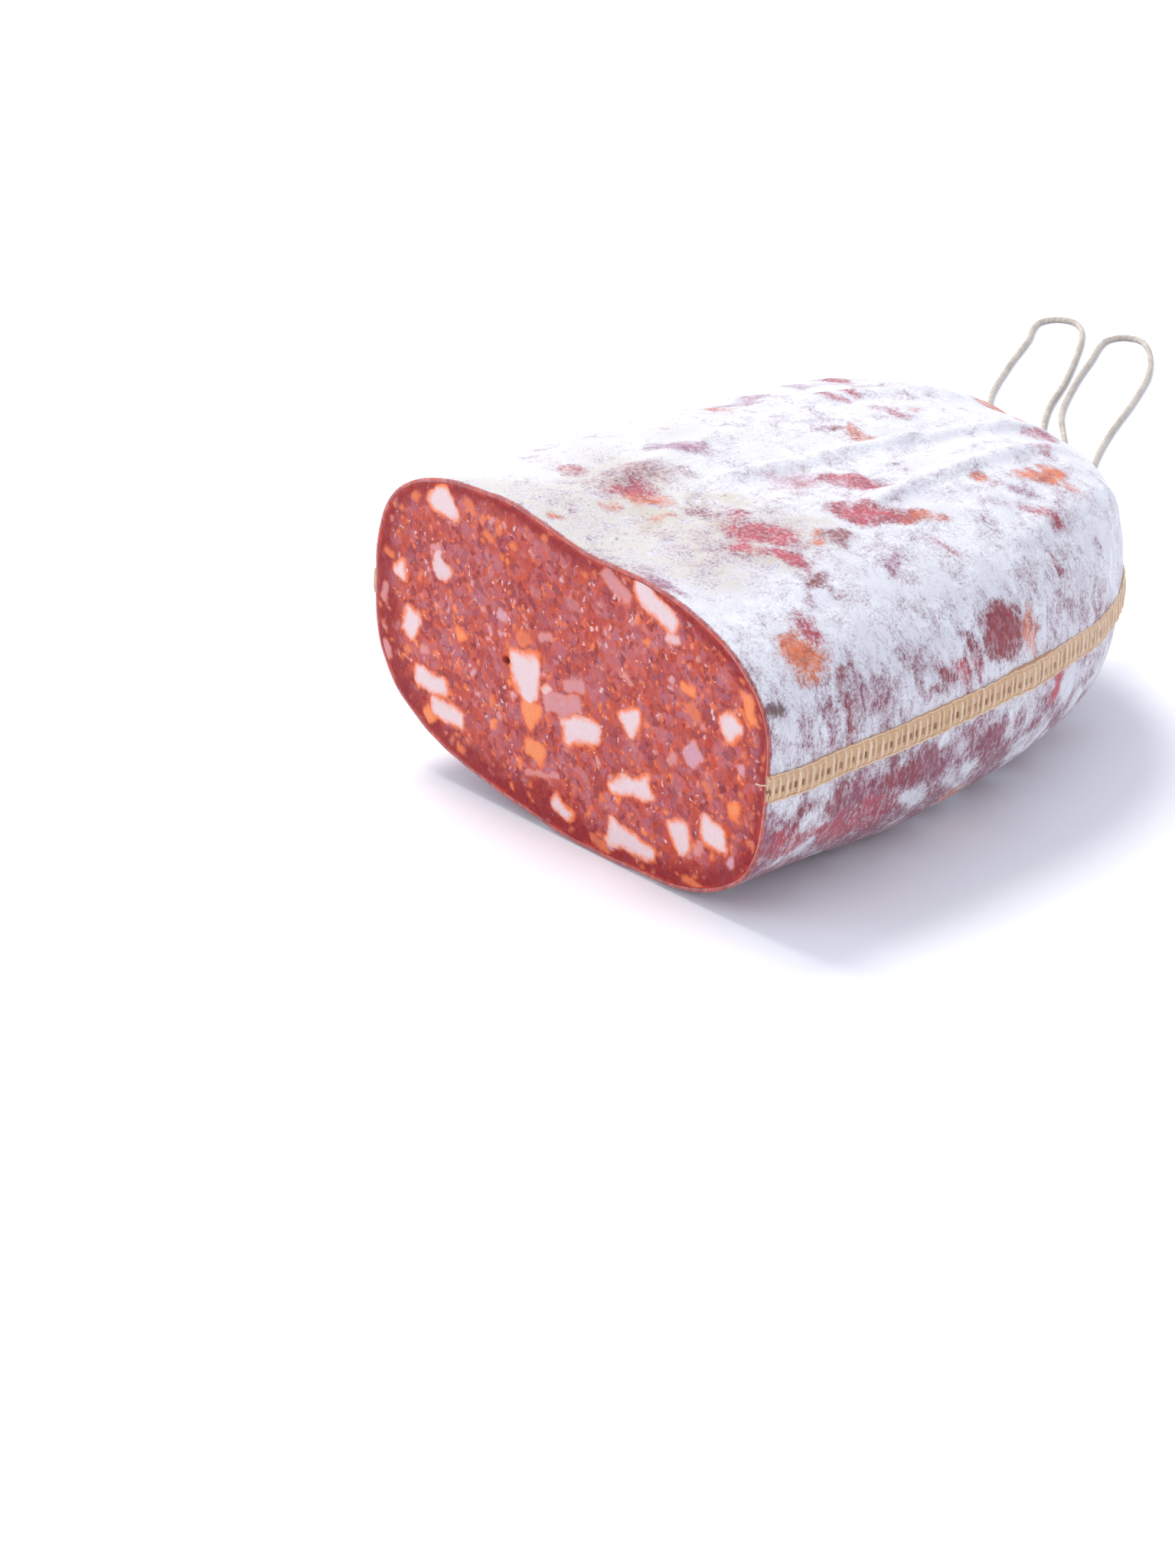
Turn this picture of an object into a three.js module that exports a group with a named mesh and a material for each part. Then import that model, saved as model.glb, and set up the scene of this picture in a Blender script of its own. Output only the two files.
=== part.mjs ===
// A flat-pressed cured sausage in a sewn natural casing, cut across once, lying on its broad side.
// Frame: millimetres, +X across the width, +Y from the cut face to the sewn end, +Z up,
// with the origin on the surface below the middle of the body, its hanging loops left aside.

import * as THREE from "three";

// The body, measured over the casing.
const WIDTH = 126;
const HEIGHT = 66.6;
const LENGTH = 149.6;
const WIDTH_LOST_BY_TAIL = 12;
const HEIGHT_LOST_BY_TAIL = 4.4;
const CORNER_POWER = 2.85; // 2 is an ellipse, larger is squarer
const TAIL_BLUNTNESS = 5.9; // how late along the length the tail closes
const TAIL_PLAN_POWER = 1.8;
const TAIL_SIDE_POWER = 2.4;
const ROLL_AT_CUT = THREE.MathUtils.degToRad(-4.7);
const ROLL_AT_TAIL = THREE.MathUtils.degToRad(-1);
const SIDEWAYS_LEAN = 10.2;
const SIDEWAYS_BOW = 4;
const MIDDLE_ABOVE_HALF_HEIGHT = 2.4;
const TOP_HOLLOW_DEPTH = 1.5;
const TOP_HOLLOW_REACH = 16;
const TOP_HOLLOW_OFFSET = 3;

// The underside, which hangs lower than a mirror of the top and is pressed flat by the surface.
const BELLY_AT_CUT = 1.6;
const BELLY_BEHIND = 6.6;
const BELLY_GROWS_OVER = 0.4; // share of the length
const CONTACT_SOFTNESS = 1.5;

// The casing, and the clearance that neighbouring pieces keep.
const CASING_WALL = 0.8;
const CLEARANCE = 0.3;

// The sewn seam, which runs along both edges and round the tail.
const SEAM_HEIGHT_AT_CUT = 2.1;
const SEAM_HEIGHT_AT_TAIL = -4.5;
const TAPE_WIDTH = 6.6;
const TAPE_THICKNESS = 0.6;
const THREAD_WIDTH = 1.2;
const THREAD_THICKNESS = 0.5;
const POLE_SHARE = 0.97; // directions across the seam are taken no nearer the tail's pole than this

// The hanging loops of twine and the knots that hold them to the tail.
const TWINE_DIAMETER = 1.4;
const KNOT_RADIUS = 1.7;
const KNOT_SPACING = 14;

// From the tail's skin to the middle of a knot: past the tape and the thread, then half the knot.
const KNOT_STANDOFF =
  3 * CLEARANCE + TAPE_THICKNESS + THREAD_THICKNESS + KNOT_RADIUS / 2 + TWINE_DIAMETER / 2;

// The lay of each loop, from its knot, down onto the surface, away, round and back to the knot.
const LEFT_LOOP_ROUTE = [
  [-21.7, 79.4, 35.7], [-22.3, 85.3, 35.3], [-25, 89.6, 32.4], [-28.8, 93.3, 26.8],
  [-33, 97, 19.2], [-37.4, 100.8, 11.4], [-42, 104.6, 4.7], [-47.2, 108.4, 1.5],
  [-53, 112.2, 0.9], [-64, 119.2, 0.8], [-80, 130, 0.8], [-96.6, 143.5, 0.8],
  [-114.8, 156.4, 0.8], [-130.7, 170.2, 0.8], [-145.2, 190.2, 0.8], [-156.4, 207.9, 0.8],
  [-161.2, 214, 0.8], [-163.7, 218.8, 0.8], [-162.6, 223.4, 0.8], [-158.3, 225.3, 0.8],
  [-153.3, 223.2, 0.8], [-147.6, 217.8, 0.8], [-139.4, 208, 0.8], [-128.2, 193.3, 0.8],
  [-117.1, 177, 0.8], [-105.1, 163.3, 0.8], [-90.5, 149.4, 0.8], [-74, 136.4, 0.8],
  [-60, 125.4, 0.8], [-49, 117.4, 0.9], [-43.2, 113.2, 1.5], [-38.2, 108.6, 4.8],
  [-33.4, 103.6, 11.4], [-28.6, 98.9, 19.4], [-24.4, 94.4, 27], [-21, 89.8, 32.8],
  [-18.9, 85.3, 35.3], [-18.3, 79.4, 35.7],
];
const RIGHT_LOOP_ROUTE = [
  [-7.7, 79.4, 35.7], [-8.7, 85.2, 35.3], [-12.6, 88.9, 32.5], [-17.4, 92.6, 26.8],
  [-22.2, 97, 19.2], [-26.8, 101.8, 11.4], [-31.6, 106.8, 4.7], [-37, 111.8, 1.5],
  [-43, 116.8, 0.9], [-53.6, 125.4, 0.8], [-68.5, 137.2, 0.8], [-84, 151.2, 0.8],
  [-98.8, 164.6, 0.8], [-112.2, 176.6, 0.8], [-125.8, 194.6, 0.8], [-136, 210.4, 0.8],
  [-140.8, 217.5, 0.8], [-143, 222.3, 0.8], [-142, 226.8, 0.8], [-137.8, 228.6, 0.8],
  [-133, 226.5, 0.8], [-126.8, 221.5, 0.8], [-117.9, 211.9, 0.8], [-106.6, 195.3, 0.8],
  [-94.6, 175.7, 0.8], [-82.8, 159, 0.8], [-69, 143.8, 0.8], [-54, 130.8, 0.8],
  [-41.8, 122.2, 0.9], [-35.4, 117.4, 1.5], [-29.8, 112, 4.8], [-24.4, 106, 11.4],
  [-19.2, 99.8, 19.4], [-14.2, 94, 27], [-9.2, 89, 32.8], [-5.4, 85.1, 35.3],
  [-4.2, 79.4, 35.7],
];

// How finely the curved pieces are divided.
const BODY_RINGS = 24;
const BODY_SIDES = 48;
const SEAM_STEPS_A_SIDE = 30;
const TWINE_SIDES = 8;
const TWINE_STEPS = 78;

const FINISHES = {
  meat: { color: 0x9c3a2c, roughness: 0.42, metalness: 0 },
  casing: { color: 0xc9bcc0, roughness: 0.85, metalness: 0 },
  tape: { color: 0xcfae7a, roughness: 0.9, metalness: 0 },
  thread: { color: 0xe4d3ae, roughness: 0.85, metalness: 0 },
  twine: { color: 0xcfc5b4, roughness: 0.9, metalness: 0 },
};

// ---------------------------------------------------------------------------------------------
// The shape of the body

function easeBetween(from, to, share) {
  return from + (to - from) * THREE.MathUtils.smoothstep(share, 0, 1);
}

function signedPower(value, power) {
  return Math.sign(value) * Math.abs(value) ** power;
}

// Presses a height flat onto a level below it, with a short soft bend where it first touches.
function pressFlat(height, level) {
  const above = height - level;
  if (above <= -CONTACT_SOFTNESS) return level;
  if (above >= CONTACT_SOFTNESS) return height;
  return level + (above + CONTACT_SOFTNESS) ** 2 / (4 * CONTACT_SOFTNESS);
}

// Half the width, and half the height above and below the middle, at a share of the length.
function halfSizes(share, inset) {
  const closing = 1 - share ** TAIL_BLUNTNESS;
  const planClosing = closing ** (1 / TAIL_PLAN_POWER);
  const sideClosing = closing ** (1 / TAIL_SIDE_POWER);
  const belly = easeBetween(BELLY_AT_CUT, BELLY_BEHIND, share / BELLY_GROWS_OVER);
  const width = WIDTH / 2 - (WIDTH_LOST_BY_TAIL / 2) * share - inset;
  const height = HEIGHT / 2 - (HEIGHT_LOST_BY_TAIL / 2) * share - inset;
  return {
    across: width * planClosing,
    above: height * sideClosing,
    below: (height + belly) * sideClosing,
  };
}

// A point of the body's surface, moved inwards by inset: a rounded box section that is rolled,
// carried sideways along the length and pressed flat below.
function bodyPoint(share, angle, inset) {
  const half = halfSizes(share, inset);
  const x = half.across * signedPower(Math.cos(angle), 2 / CORNER_POWER);
  const rise = signedPower(Math.sin(angle), 2 / CORNER_POWER);
  const hollowAcross = Math.exp(-(((x - TOP_HOLLOW_OFFSET) / TOP_HOLLOW_REACH) ** 2));
  const hollow = TOP_HOLLOW_DEPTH * hollowAcross * (1 - share);
  const z = rise > 0 ? (half.above - hollow) * rise : half.below * rise;

  const roll = easeBetween(ROLL_AT_CUT, ROLL_AT_TAIL, share / 0.8);
  const middleHeight = HEIGHT / 2 + MIDDLE_ABOVE_HALF_HEIGHT;
  return new THREE.Vector3(
    x * Math.cos(roll) - z * Math.sin(roll) - SIDEWAYS_LEAN * share - SIDEWAYS_BOW * share ** 2,
    share * (LENGTH - inset),
    pressFlat(x * Math.sin(roll) + z * Math.cos(roll) + middleHeight, inset),
  );
}

// ---------------------------------------------------------------------------------------------
// Closed skins made of rings of points

// Collects points and faces; each ring has the same number of points, anticlockwise from +Y.
class Skin {
  constructor() {
    this.points = [];
    this.faces = [];
  }

  add(points) {
    const first = this.points.length;
    this.points.push(...points);
    return first;
  }

  // Joins two rings, given by their first points, with faces that look away from their middle.
  bridge(near, far, count) {
    for (let i = 0; i < count; i += 1) {
      const next = (i + 1) % count;
      this.faces.push([near + i, far + i, near + next], [near + next, far + i, far + next]);
    }
  }

  // Closes a ring with a fan to one point, beyond the ring (+Y) or before it.
  fan(ring, point, count, beyond) {
    for (let i = 0; i < count; i += 1) {
      const next = (i + 1) % count;
      this.faces.push(beyond ? [ring + i, point, ring + next] : [ring + next, point, ring + i]);
    }
  }

  geometry() {
    const geometry = new THREE.BufferGeometry();
    const numbers = this.points.flatMap((point) => point.toArray());
    geometry.setAttribute("position", new THREE.Float32BufferAttribute(numbers, 3));
    geometry.setIndex(this.faces.flat());
    geometry.computeVertexNormals();
    return geometry;
  }
}

// The share of the length at a ring, closer together towards the tail.
function ringShare(ring, rings) {
  return 1 - (1 - ring / rings) ** 2;
}

function bodyRing(ring, inset) {
  const share = ringShare(ring, BODY_RINGS);
  return Array.from({ length: BODY_SIDES }, (_, side) =>
    bodyPoint(share, (side / BODY_SIDES) * 2 * Math.PI, inset),
  );
}

// Adds the rings of a body skin to a Skin and gives the first point of the ring at the cut.
function addBodySkin(skin, inset, facesOut) {
  const rings = Array.from({ length: BODY_RINGS }, (_, ring) => skin.add(bodyRing(ring, inset)));
  const pole = skin.add([bodyPoint(1, 0, inset)]);
  const before = skin.faces.length;
  for (let ring = 1; ring < BODY_RINGS; ring += 1) {
    skin.bridge(rings[ring - 1], rings[ring], BODY_SIDES);
  }
  skin.fan(rings[BODY_RINGS - 1], pole, BODY_SIDES, true);
  if (!facesOut) {
    skin.faces.slice(before).forEach((face) => face.reverse());
  }
  return rings[0];
}

// The casing is a thin pouch, open at the cut.
function casingGeometry() {
  const skin = new Skin();
  const outerRim = addBodySkin(skin, 0, true);
  const innerRim = addBodySkin(skin, CASING_WALL, false);
  skin.bridge(innerRim, outerRim, BODY_SIDES);
  return skin.geometry();
}

// The meat fills the casing and ends in the flat cut face.
function fillingGeometry() {
  const inset = CASING_WALL + CLEARANCE;
  const skin = new Skin();
  const rim = addBodySkin(skin, inset, true);
  const middle = skin.add([new THREE.Vector3(0, 0, HEIGHT / 2 + MIDDLE_ABOVE_HALF_HEIGHT)]);
  skin.fan(rim, middle, BODY_SIDES, false);
  return skin.geometry();
}

// ---------------------------------------------------------------------------------------------
// The seam

// The section angle of the seam on the +X side, at a share of the length.
function seamAngle(share) {
  const height = THREE.MathUtils.lerp(SEAM_HEIGHT_AT_CUT, SEAM_HEIGHT_AT_TAIL, share);
  return Math.asin(signedPower(height / (HEIGHT / 2), CORNER_POWER / 2));
}

// A place on the seam: it runs from the cut on the +X side, round the tail, to the cut on -X,
// and is the same after half a turn about the middle of the body.
function seamPlace(step) {
  const onFarSide = step > SEAM_STEPS_A_SIDE;
  const ring = onFarSide ? 2 * SEAM_STEPS_A_SIDE - step : step;
  const share = ringShare(ring, SEAM_STEPS_A_SIDE);
  const angle = seamAngle(share) + (onFarSide ? Math.PI : 0);
  return { share, angle, side: onFarSide ? -1 : 1 };
}

function seamPoint(step) {
  const place = seamPlace(step);
  return bodyPoint(place.share, place.angle, 0);
}

// The direction across the seam, upwards and along the skin.
function seamAcross(step) {
  const place = seamPlace(step);
  const share = Math.min(place.share, POLE_SHARE);
  const small = 0.02;
  const above = bodyPoint(share, place.angle + small, 0);
  const below = bodyPoint(share, place.angle - small, 0);
  return above.sub(below).multiplyScalar(place.side).normalize();
}

// A flat strip that follows the seam at a lift above the skin.
function seamStripGeometry(width, lift, thickness) {
  const steps = 2 * SEAM_STEPS_A_SIDE;
  const skin = new Skin();
  const rings = [];
  for (let step = 0; step <= steps; step += 1) {
    const before = seamPoint(Math.max(step - 1, 0));
    const along = seamPoint(Math.min(step + 1, steps)).sub(before).normalize();
    const across = seamAcross(step);
    const outwards = new THREE.Vector3().crossVectors(along, across).normalize();
    const corner = (sideways, rise) =>
      seamPoint(step).addScaledVector(across, sideways).addScaledVector(outwards, rise);
    rings.push(
      skin.add([
        corner(-width / 2, lift),
        corner(-width / 2, lift + thickness),
        corner(width / 2, lift + thickness),
        corner(width / 2, lift),
      ]),
    );
  }
  for (let step = 1; step <= steps; step += 1) {
    skin.bridge(rings[step - 1], rings[step], 4);
  }
  const [start, end] = [rings[0], rings[steps]];
  skin.faces.push([start, start + 1, start + 2], [start, start + 2, start + 3]);
  skin.faces.push([end, end + 2, end + 1], [end, end + 3, end + 2]);
  return skin.geometry();
}

function tapeGeometry() {
  return seamStripGeometry(TAPE_WIDTH, CLEARANCE, TAPE_THICKNESS);
}

function threadGeometry() {
  const lift = CLEARANCE + TAPE_THICKNESS + CLEARANCE;
  return seamStripGeometry(THREAD_WIDTH, lift, THREAD_THICKNESS);
}

// ---------------------------------------------------------------------------------------------
// The knots and the hanging loops

// An overhand knot in the twine: a trefoil that lies flat against the tail.
function knotGeometry() {
  const knot = new THREE.TorusKnotGeometry(KNOT_RADIUS, TWINE_DIAMETER / 2 - 0.1, 40, 6, 2, 3);
  knot.rotateX(Math.PI / 2);
  return knot;
}

// A knot's place beside the tail's pole, clear of the seam thread (side -1 is left, 1 right).
function knotPosition(side) {
  const tail = bodyPoint(1, 0, 0);
  return tail.add(new THREE.Vector3((side * KNOT_SPACING) / 2, KNOT_STANDOFF, 0));
}

// Plain round twine along a route.
function loopGeometry(route) {
  const path = new THREE.CatmullRomCurve3(route.map((place) => new THREE.Vector3(...place)));
  const section = new THREE.Shape(
    Array.from({ length: TWINE_SIDES }, (_, side) => {
      const angle = (side / TWINE_SIDES) * 2 * Math.PI;
      return new THREE.Vector2(Math.cos(angle), Math.sin(angle)).multiplyScalar(TWINE_DIAMETER / 2);
    }),
  );
  return new THREE.ExtrudeGeometry(section, { steps: TWINE_STEPS, extrudePath: path });
}

function makeMesh(name, geometry, finish) {
  const mesh = new THREE.Mesh(geometry, new THREE.MeshStandardMaterial(finish));
  mesh.name = name;
  return mesh;
}

function makeBody() {
  const body = new THREE.Group();
  body.add(
    makeMesh("filling", fillingGeometry(), FINISHES.meat),
    makeMesh("casing", casingGeometry(), FINISHES.casing),
    makeMesh("seam_tape", tapeGeometry(), FINISHES.tape),
    makeMesh("seam_thread", threadGeometry(), FINISHES.thread),
  );
  return body;
}

function makeKnots() {
  const knots = new THREE.Group();
  for (const [name, side] of [["knot_left", -1], ["knot_right", 1]]) {
    const knot = makeMesh(name, knotGeometry(), FINISHES.twine);
    knot.position.copy(knotPosition(side));
    knots.add(knot);
  }
  return knots;
}

function makeLoops() {
  const loops = new THREE.Group();
  loops.add(
    makeMesh("loop_left", loopGeometry(LEFT_LOOP_ROUTE), FINISHES.twine),
    makeMesh("loop_right", loopGeometry(RIGHT_LOOP_ROUTE), FINISHES.twine),
  );
  return loops;
}

// The whole sausage, with the middle of the body's footprint at the origin.
function makeSausage() {
  const body = makeBody();
  const extent = new THREE.Box3().setFromObject(body, true);
  const middle = extent.getCenter(new THREE.Vector3());

  const placed = new THREE.Group();
  placed.position.set(-middle.x, -middle.y, -extent.min.z);
  placed.add(body, makeKnots());

  const sausage = new THREE.Group();
  sausage.add(placed, makeLoops());
  return sausage;
}

export default makeSausage();
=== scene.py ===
"""Looks of a mould-ripened cured sausage in a sewn natural casing, cut across once.

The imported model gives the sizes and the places. Every piece is worked out here in millimetres as
numpy arrays, put into meshes in metres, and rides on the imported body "root".
"""

import itertools
import logging
import math
from dataclasses import dataclass, field
from enum import Enum
from typing import Sequence

import bpy
import numpy as np
from numpy.typing import NDArray
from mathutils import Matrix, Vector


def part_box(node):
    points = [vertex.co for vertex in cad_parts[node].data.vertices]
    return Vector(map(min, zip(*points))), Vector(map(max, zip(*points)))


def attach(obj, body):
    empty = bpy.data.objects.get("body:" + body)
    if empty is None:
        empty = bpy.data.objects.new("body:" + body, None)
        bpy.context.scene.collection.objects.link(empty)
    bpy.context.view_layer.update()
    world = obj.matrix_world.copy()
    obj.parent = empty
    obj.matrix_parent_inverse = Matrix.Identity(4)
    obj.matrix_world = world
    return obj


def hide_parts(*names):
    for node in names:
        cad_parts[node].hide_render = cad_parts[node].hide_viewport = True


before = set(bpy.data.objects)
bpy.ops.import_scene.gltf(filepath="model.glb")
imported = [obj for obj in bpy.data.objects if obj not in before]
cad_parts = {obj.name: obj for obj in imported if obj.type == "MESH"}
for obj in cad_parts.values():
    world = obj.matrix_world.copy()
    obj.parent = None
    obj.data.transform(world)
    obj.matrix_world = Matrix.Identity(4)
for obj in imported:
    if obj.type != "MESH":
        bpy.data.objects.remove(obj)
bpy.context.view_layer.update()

LOG = logging.getLogger("sausage")
MM = 0.001
BODY = "root"
Array = NDArray[np.float64]
Faces = NDArray[np.int64]
Colour = tuple[float, float, float, float]
Feed = bpy.types.NodeSocket | float | int | Sequence[float]


# ------------------------------------------------------------------------------------------------
# Numbers and shapes


def shade(red: float, green: float, blue: float) -> Colour:
    """Turns a display colour, 0 to 255 a channel, into the linear colour that shaders take.

    Args:
        red: Red on the display scale.
        green: Green on the display scale.
        blue: Blue on the display scale.

    Returns:
        Linear red, green and blue, and full opacity.
    """
    channel = np.array([red, green, blue]) / 255
    linear = np.where(channel <= 0.04045, channel / 12.92, ((channel + 0.055) / 1.055) ** 2.4)
    return (*map(float, linear), 1.0)


def ease(value: Array) -> Array:
    """Gives 0 below 0, 1 above 1 and 3t²-2t³ between them."""
    held = np.clip(value, 0.0, 1.0)
    return held * held * (3 - 2 * held)


def signed_power(value: Array, power: float) -> Array:
    """Raises the size of a number to a power and keeps its sign."""
    return np.sign(value) * np.abs(value) ** power


def lattice_noise(points: Array, cell: float, seed: int) -> Array:
    """Smooth random heights over space.

    Each corner of a cubic lattice holds a seeded random height. A point takes the heights of its
    cell's eight corners, each weighted by 3t²-2t³ of how near the point lies to it on each axis.

    Args:
        points: Places, with their three coordinates on the last axis.
        cell: Side of a lattice cell, in the unit of the places.
        seed: Picks the set of random heights.

    Returns:
        Heights from -1 to 1, one for each place.
    """
    heights = np.random.default_rng(seed).uniform(-1, 1, 4096)
    scaled = points / cell
    base = np.floor(scaled)
    near = ease(scaled - base)
    base = base.astype(np.int64)
    total = np.zeros(points.shape[:-1])
    for corner in itertools.product((0, 1), repeat=3):
        spot = base + np.array(corner)
        key = (spot[..., 0] * 73856093) ^ (spot[..., 1] * 19349663) ^ (spot[..., 2] * 83492791)
        weight = np.prod(np.where(np.array(corner) == 1, near, 1 - near), axis=-1)
        total += weight * heights[key & 4095]
    return total


def unit(vectors: Array) -> Array:
    """Scales vectors, held on the last axis, to length one."""
    return vectors / np.linalg.norm(vectors, axis=-1, keepdims=True)


def lengths_along(line: Array) -> Array:
    """Length from a line's first point to each of its points."""
    steps = np.linalg.norm(np.diff(line, axis=0), axis=1)
    return np.concatenate([[0], np.cumsum(steps)])


def grid_faces(rows: int, columns: int, closed: bool, first: int = 0) -> Faces:
    """Four-sided faces of a grid of points stored row after row.

    A face looks along (step to the next row) x (step to the next column).

    Args:
        rows: Number of rows.
        columns: Points in a row.
        closed: Whether a row joins its last point to its first.
        first: Number of the grid's first point.

    Returns:
        Four point numbers for each face.
    """
    row, column = np.meshgrid(
        np.arange(rows - 1), np.arange(columns if closed else columns - 1), indexing="ij"
    )
    here = first + row * columns + column
    beside = first + row * columns + (column + 1) % columns
    quads = np.stack([here, here + columns, beside + columns, beside], axis=-1)
    return quads.reshape(-1, 4)


def fan_faces(ring: Array, middle: int, outwards: bool) -> Faces:
    """Triangles between a closed ring of points and one middle point.

    Args:
        ring: Point numbers of the ring, in order.
        middle: Number of the middle point.
        outwards: Whether the middle comes before the next ring point in each face.

    Returns:
        Three point numbers for each triangle.
    """
    following = np.roll(ring, -1)
    centre = np.full_like(ring, middle)
    order = [ring, centre, following] if outwards else [ring, following, centre]
    return np.stack(order, axis=-1)


def make_piece(name: str, points: Array, faces: Sequence[Faces]) -> bpy.types.Object:
    """Puts points and faces into a smooth-shaded mesh object at the origin.

    Args:
        name: Name of the object and its mesh.
        points: Places in millimetres.
        faces: Arrays of faces, each array with one number of corners.

    Returns:
        The object, linked to the scene.
    """
    mesh = bpy.data.meshes.new(name)
    listed = [face for group in faces for face in group.tolist()]
    mesh.from_pydata((points.reshape(-1, 3) * MM).tolist(), [], listed)
    mesh.polygons.foreach_set("use_smooth", np.ones(len(mesh.polygons), dtype=bool))
    mesh.update()
    piece = bpy.data.objects.new(name, mesh)
    bpy.context.scene.collection.objects.link(piece)
    return piece


def add_measure(piece: bpy.types.Object, name: str, values: Array) -> None:
    """Stores one number for each point of a piece's mesh under a name."""
    attribute = piece.data.attributes.new(name, "FLOAT", "POINT")
    attribute.data.foreach_set("value", values.astype(np.float32).ravel())


def add_tint(piece: bpy.types.Object, name: str, colours: Array) -> None:
    """Stores one linear colour, of four numbers, for each point of a piece's mesh."""
    attribute = piece.data.attributes.new(name, "FLOAT_COLOR", "POINT")
    attribute.data.foreach_set("color", colours.astype(np.float32).ravel())


def add_run(piece: bpy.types.Object, places: Array) -> None:
    """Stores a UV map named run, from one pair of lengths in millimetres for each point."""
    mesh = piece.data
    corners = np.zeros(len(mesh.loops), dtype=np.int32)
    mesh.loops.foreach_get("vertex_index", corners)
    layer = mesh.uv_layers.new(name="run")
    layer.data.foreach_set("uv", places.reshape(-1, 2)[corners].astype(np.float32).ravel())


def finish_piece(
    piece: bpy.types.Object, slot: str, material: bpy.types.Material, *nodes: str
) -> bpy.types.Object:
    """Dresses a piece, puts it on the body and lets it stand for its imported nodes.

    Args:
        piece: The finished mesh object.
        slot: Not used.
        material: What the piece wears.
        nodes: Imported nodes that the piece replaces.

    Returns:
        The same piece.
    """
    piece.data.materials.append(material)
    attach(piece, BODY)
    if nodes:
        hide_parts(*nodes)
    LOG.info("%s: %d faces", piece.name, len(piece.data.polygons))
    return piece


# ------------------------------------------------------------------------------------------------
# Shader building


class Graph:
    """Adds nodes to one node tree and joins them."""

    def __init__(self, tree: bpy.types.NodeTree) -> None:
        """Starts on a tree.

        Args:
            tree: The tree that the nodes go into.
        """
        self.tree = tree

    def add(self, kind: str, **settings: object) -> bpy.types.Node:
        """Adds a node of a kind and sets its options.

        Args:
            kind: The node's type name without "ShaderNode".
            settings: Options by name.

        Returns:
            The new node.
        """
        prefix = "" if kind.startswith("NodeGroup") else "ShaderNode"
        node = self.tree.nodes.new(prefix + kind)
        for name, value in settings.items():
            setattr(node, name, value)
        return node

    def feed(self, socket: bpy.types.NodeSocket, value: Feed) -> None:
        """Joins a socket to another one, or sets its number or colour."""
        if isinstance(value, bpy.types.NodeSocket):
            self.tree.links.new(value, socket)
        else:
            socket.default_value = value

    def math(self, operation: str, *values: Feed) -> bpy.types.NodeSocket:
        """Adds a Math node and gives its result."""
        node = self.add("Math", operation=operation)
        for socket, value in zip(node.inputs, values):
            self.feed(socket, value)
        return node.outputs[0]

    def times(self, value: Feed, factor: Feed) -> bpy.types.NodeSocket:
        """Multiplies two values."""
        return self.math("MULTIPLY", value, factor)

    def plus(self, value: Feed, more: Feed) -> bpy.types.NodeSocket:
        """Adds two values."""
        return self.math("ADD", value, more)

    def minus(self, value: Feed, less: Feed) -> bpy.types.NodeSocket:
        """Takes the second value from the first."""
        return self.math("SUBTRACT", value, less)

    def split(self, colour: Feed) -> Sequence[bpy.types.NodeSocket]:
        """Gives a colour's red, green and blue."""
        node = self.add("SeparateColor")
        self.feed(node.inputs[0], colour)
        return node.outputs

    def axes(self, vector: Feed) -> Sequence[bpy.types.NodeSocket]:
        """Gives a vector's three parts."""
        node = self.add("SeparateXYZ")
        self.feed(node.inputs[0], vector)
        return node.outputs

    def sized(self, vector: Feed, factor: Feed) -> bpy.types.NodeSocket:
        """Multiplies a vector by one factor."""
        node = self.add("VectorMath", operation="SCALE")
        self.feed(node.inputs[0], vector)
        self.feed(node.inputs["Scale"], factor)
        return node.outputs[0]

    def step(
        self, value: Feed, low: Feed, high: Feed, start: float = 0.0, end: float = 1.0
    ) -> bpy.types.NodeSocket:
        """Eases smoothly from start to end as a value goes from low to high."""
        node = self.add("MapRange", interpolation_type="SMOOTHSTEP")
        for name, number in zip(
            ("Value", "From Min", "From Max", "To Min", "To Max"), (value, low, high, start, end)
        ):
            self.feed(node.inputs[name], number)
        return node.outputs[0]

    def mix(self, share: Feed, under: Feed, over: Feed, how: str = "MIX") -> bpy.types.NodeSocket:
        """Lays one colour over another.

        Args:
            share: How much of the upper colour shows, 0 to 1.
            under: The lower colour.
            over: The upper colour.
            how: The blend type.

        Returns:
            The mixed colour.
        """
        node = self.add("Mix", data_type="RGBA", blend_type=how, clamp_factor=True)
        self.feed(node.inputs[0], share)
        self.feed(node.inputs[6], under)
        self.feed(node.inputs[7], over)
        return node.outputs[2]

    def scaled(self, vector: Feed, factors: Sequence[float]) -> bpy.types.NodeSocket:
        """Multiplies a vector by three factors."""
        node = self.add("VectorMath", operation="MULTIPLY")
        self.feed(node.inputs[0], vector)
        self.feed(node.inputs[1], factors)
        return node.outputs[0]

    def moved(self, vector: Feed, shift: Feed) -> bpy.types.NodeSocket:
        """Adds two vectors."""
        node = self.add("VectorMath", operation="ADD")
        self.feed(node.inputs[0], vector)
        self.feed(node.inputs[1], shift)
        return node.outputs[0]

    def noise(
        self, place: Feed, size: float, detail: float = 2.0, rough: float = 0.5, twist: float = 0.0
    ) -> bpy.types.Node:
        """Adds a Noise Texture whose features are about size across, in the unit of the place."""
        node = self.add("TexNoise")
        self.feed(node.inputs["Vector"], place)
        for name, value in (
            ("Scale", 1 / size), ("Detail", detail), ("Roughness", rough), ("Distortion", twist)
        ):
            node.inputs[name].default_value = value
        return node

    def cells(self, place: Feed, size: float, feature: str = "F1") -> bpy.types.Node:
        """Adds a Voronoi Texture whose cells are about size across."""
        node = self.add("TexVoronoi", feature=feature)
        self.feed(node.inputs["Vector"], place)
        node.inputs["Scale"].default_value = 1 / size
        return node

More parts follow.
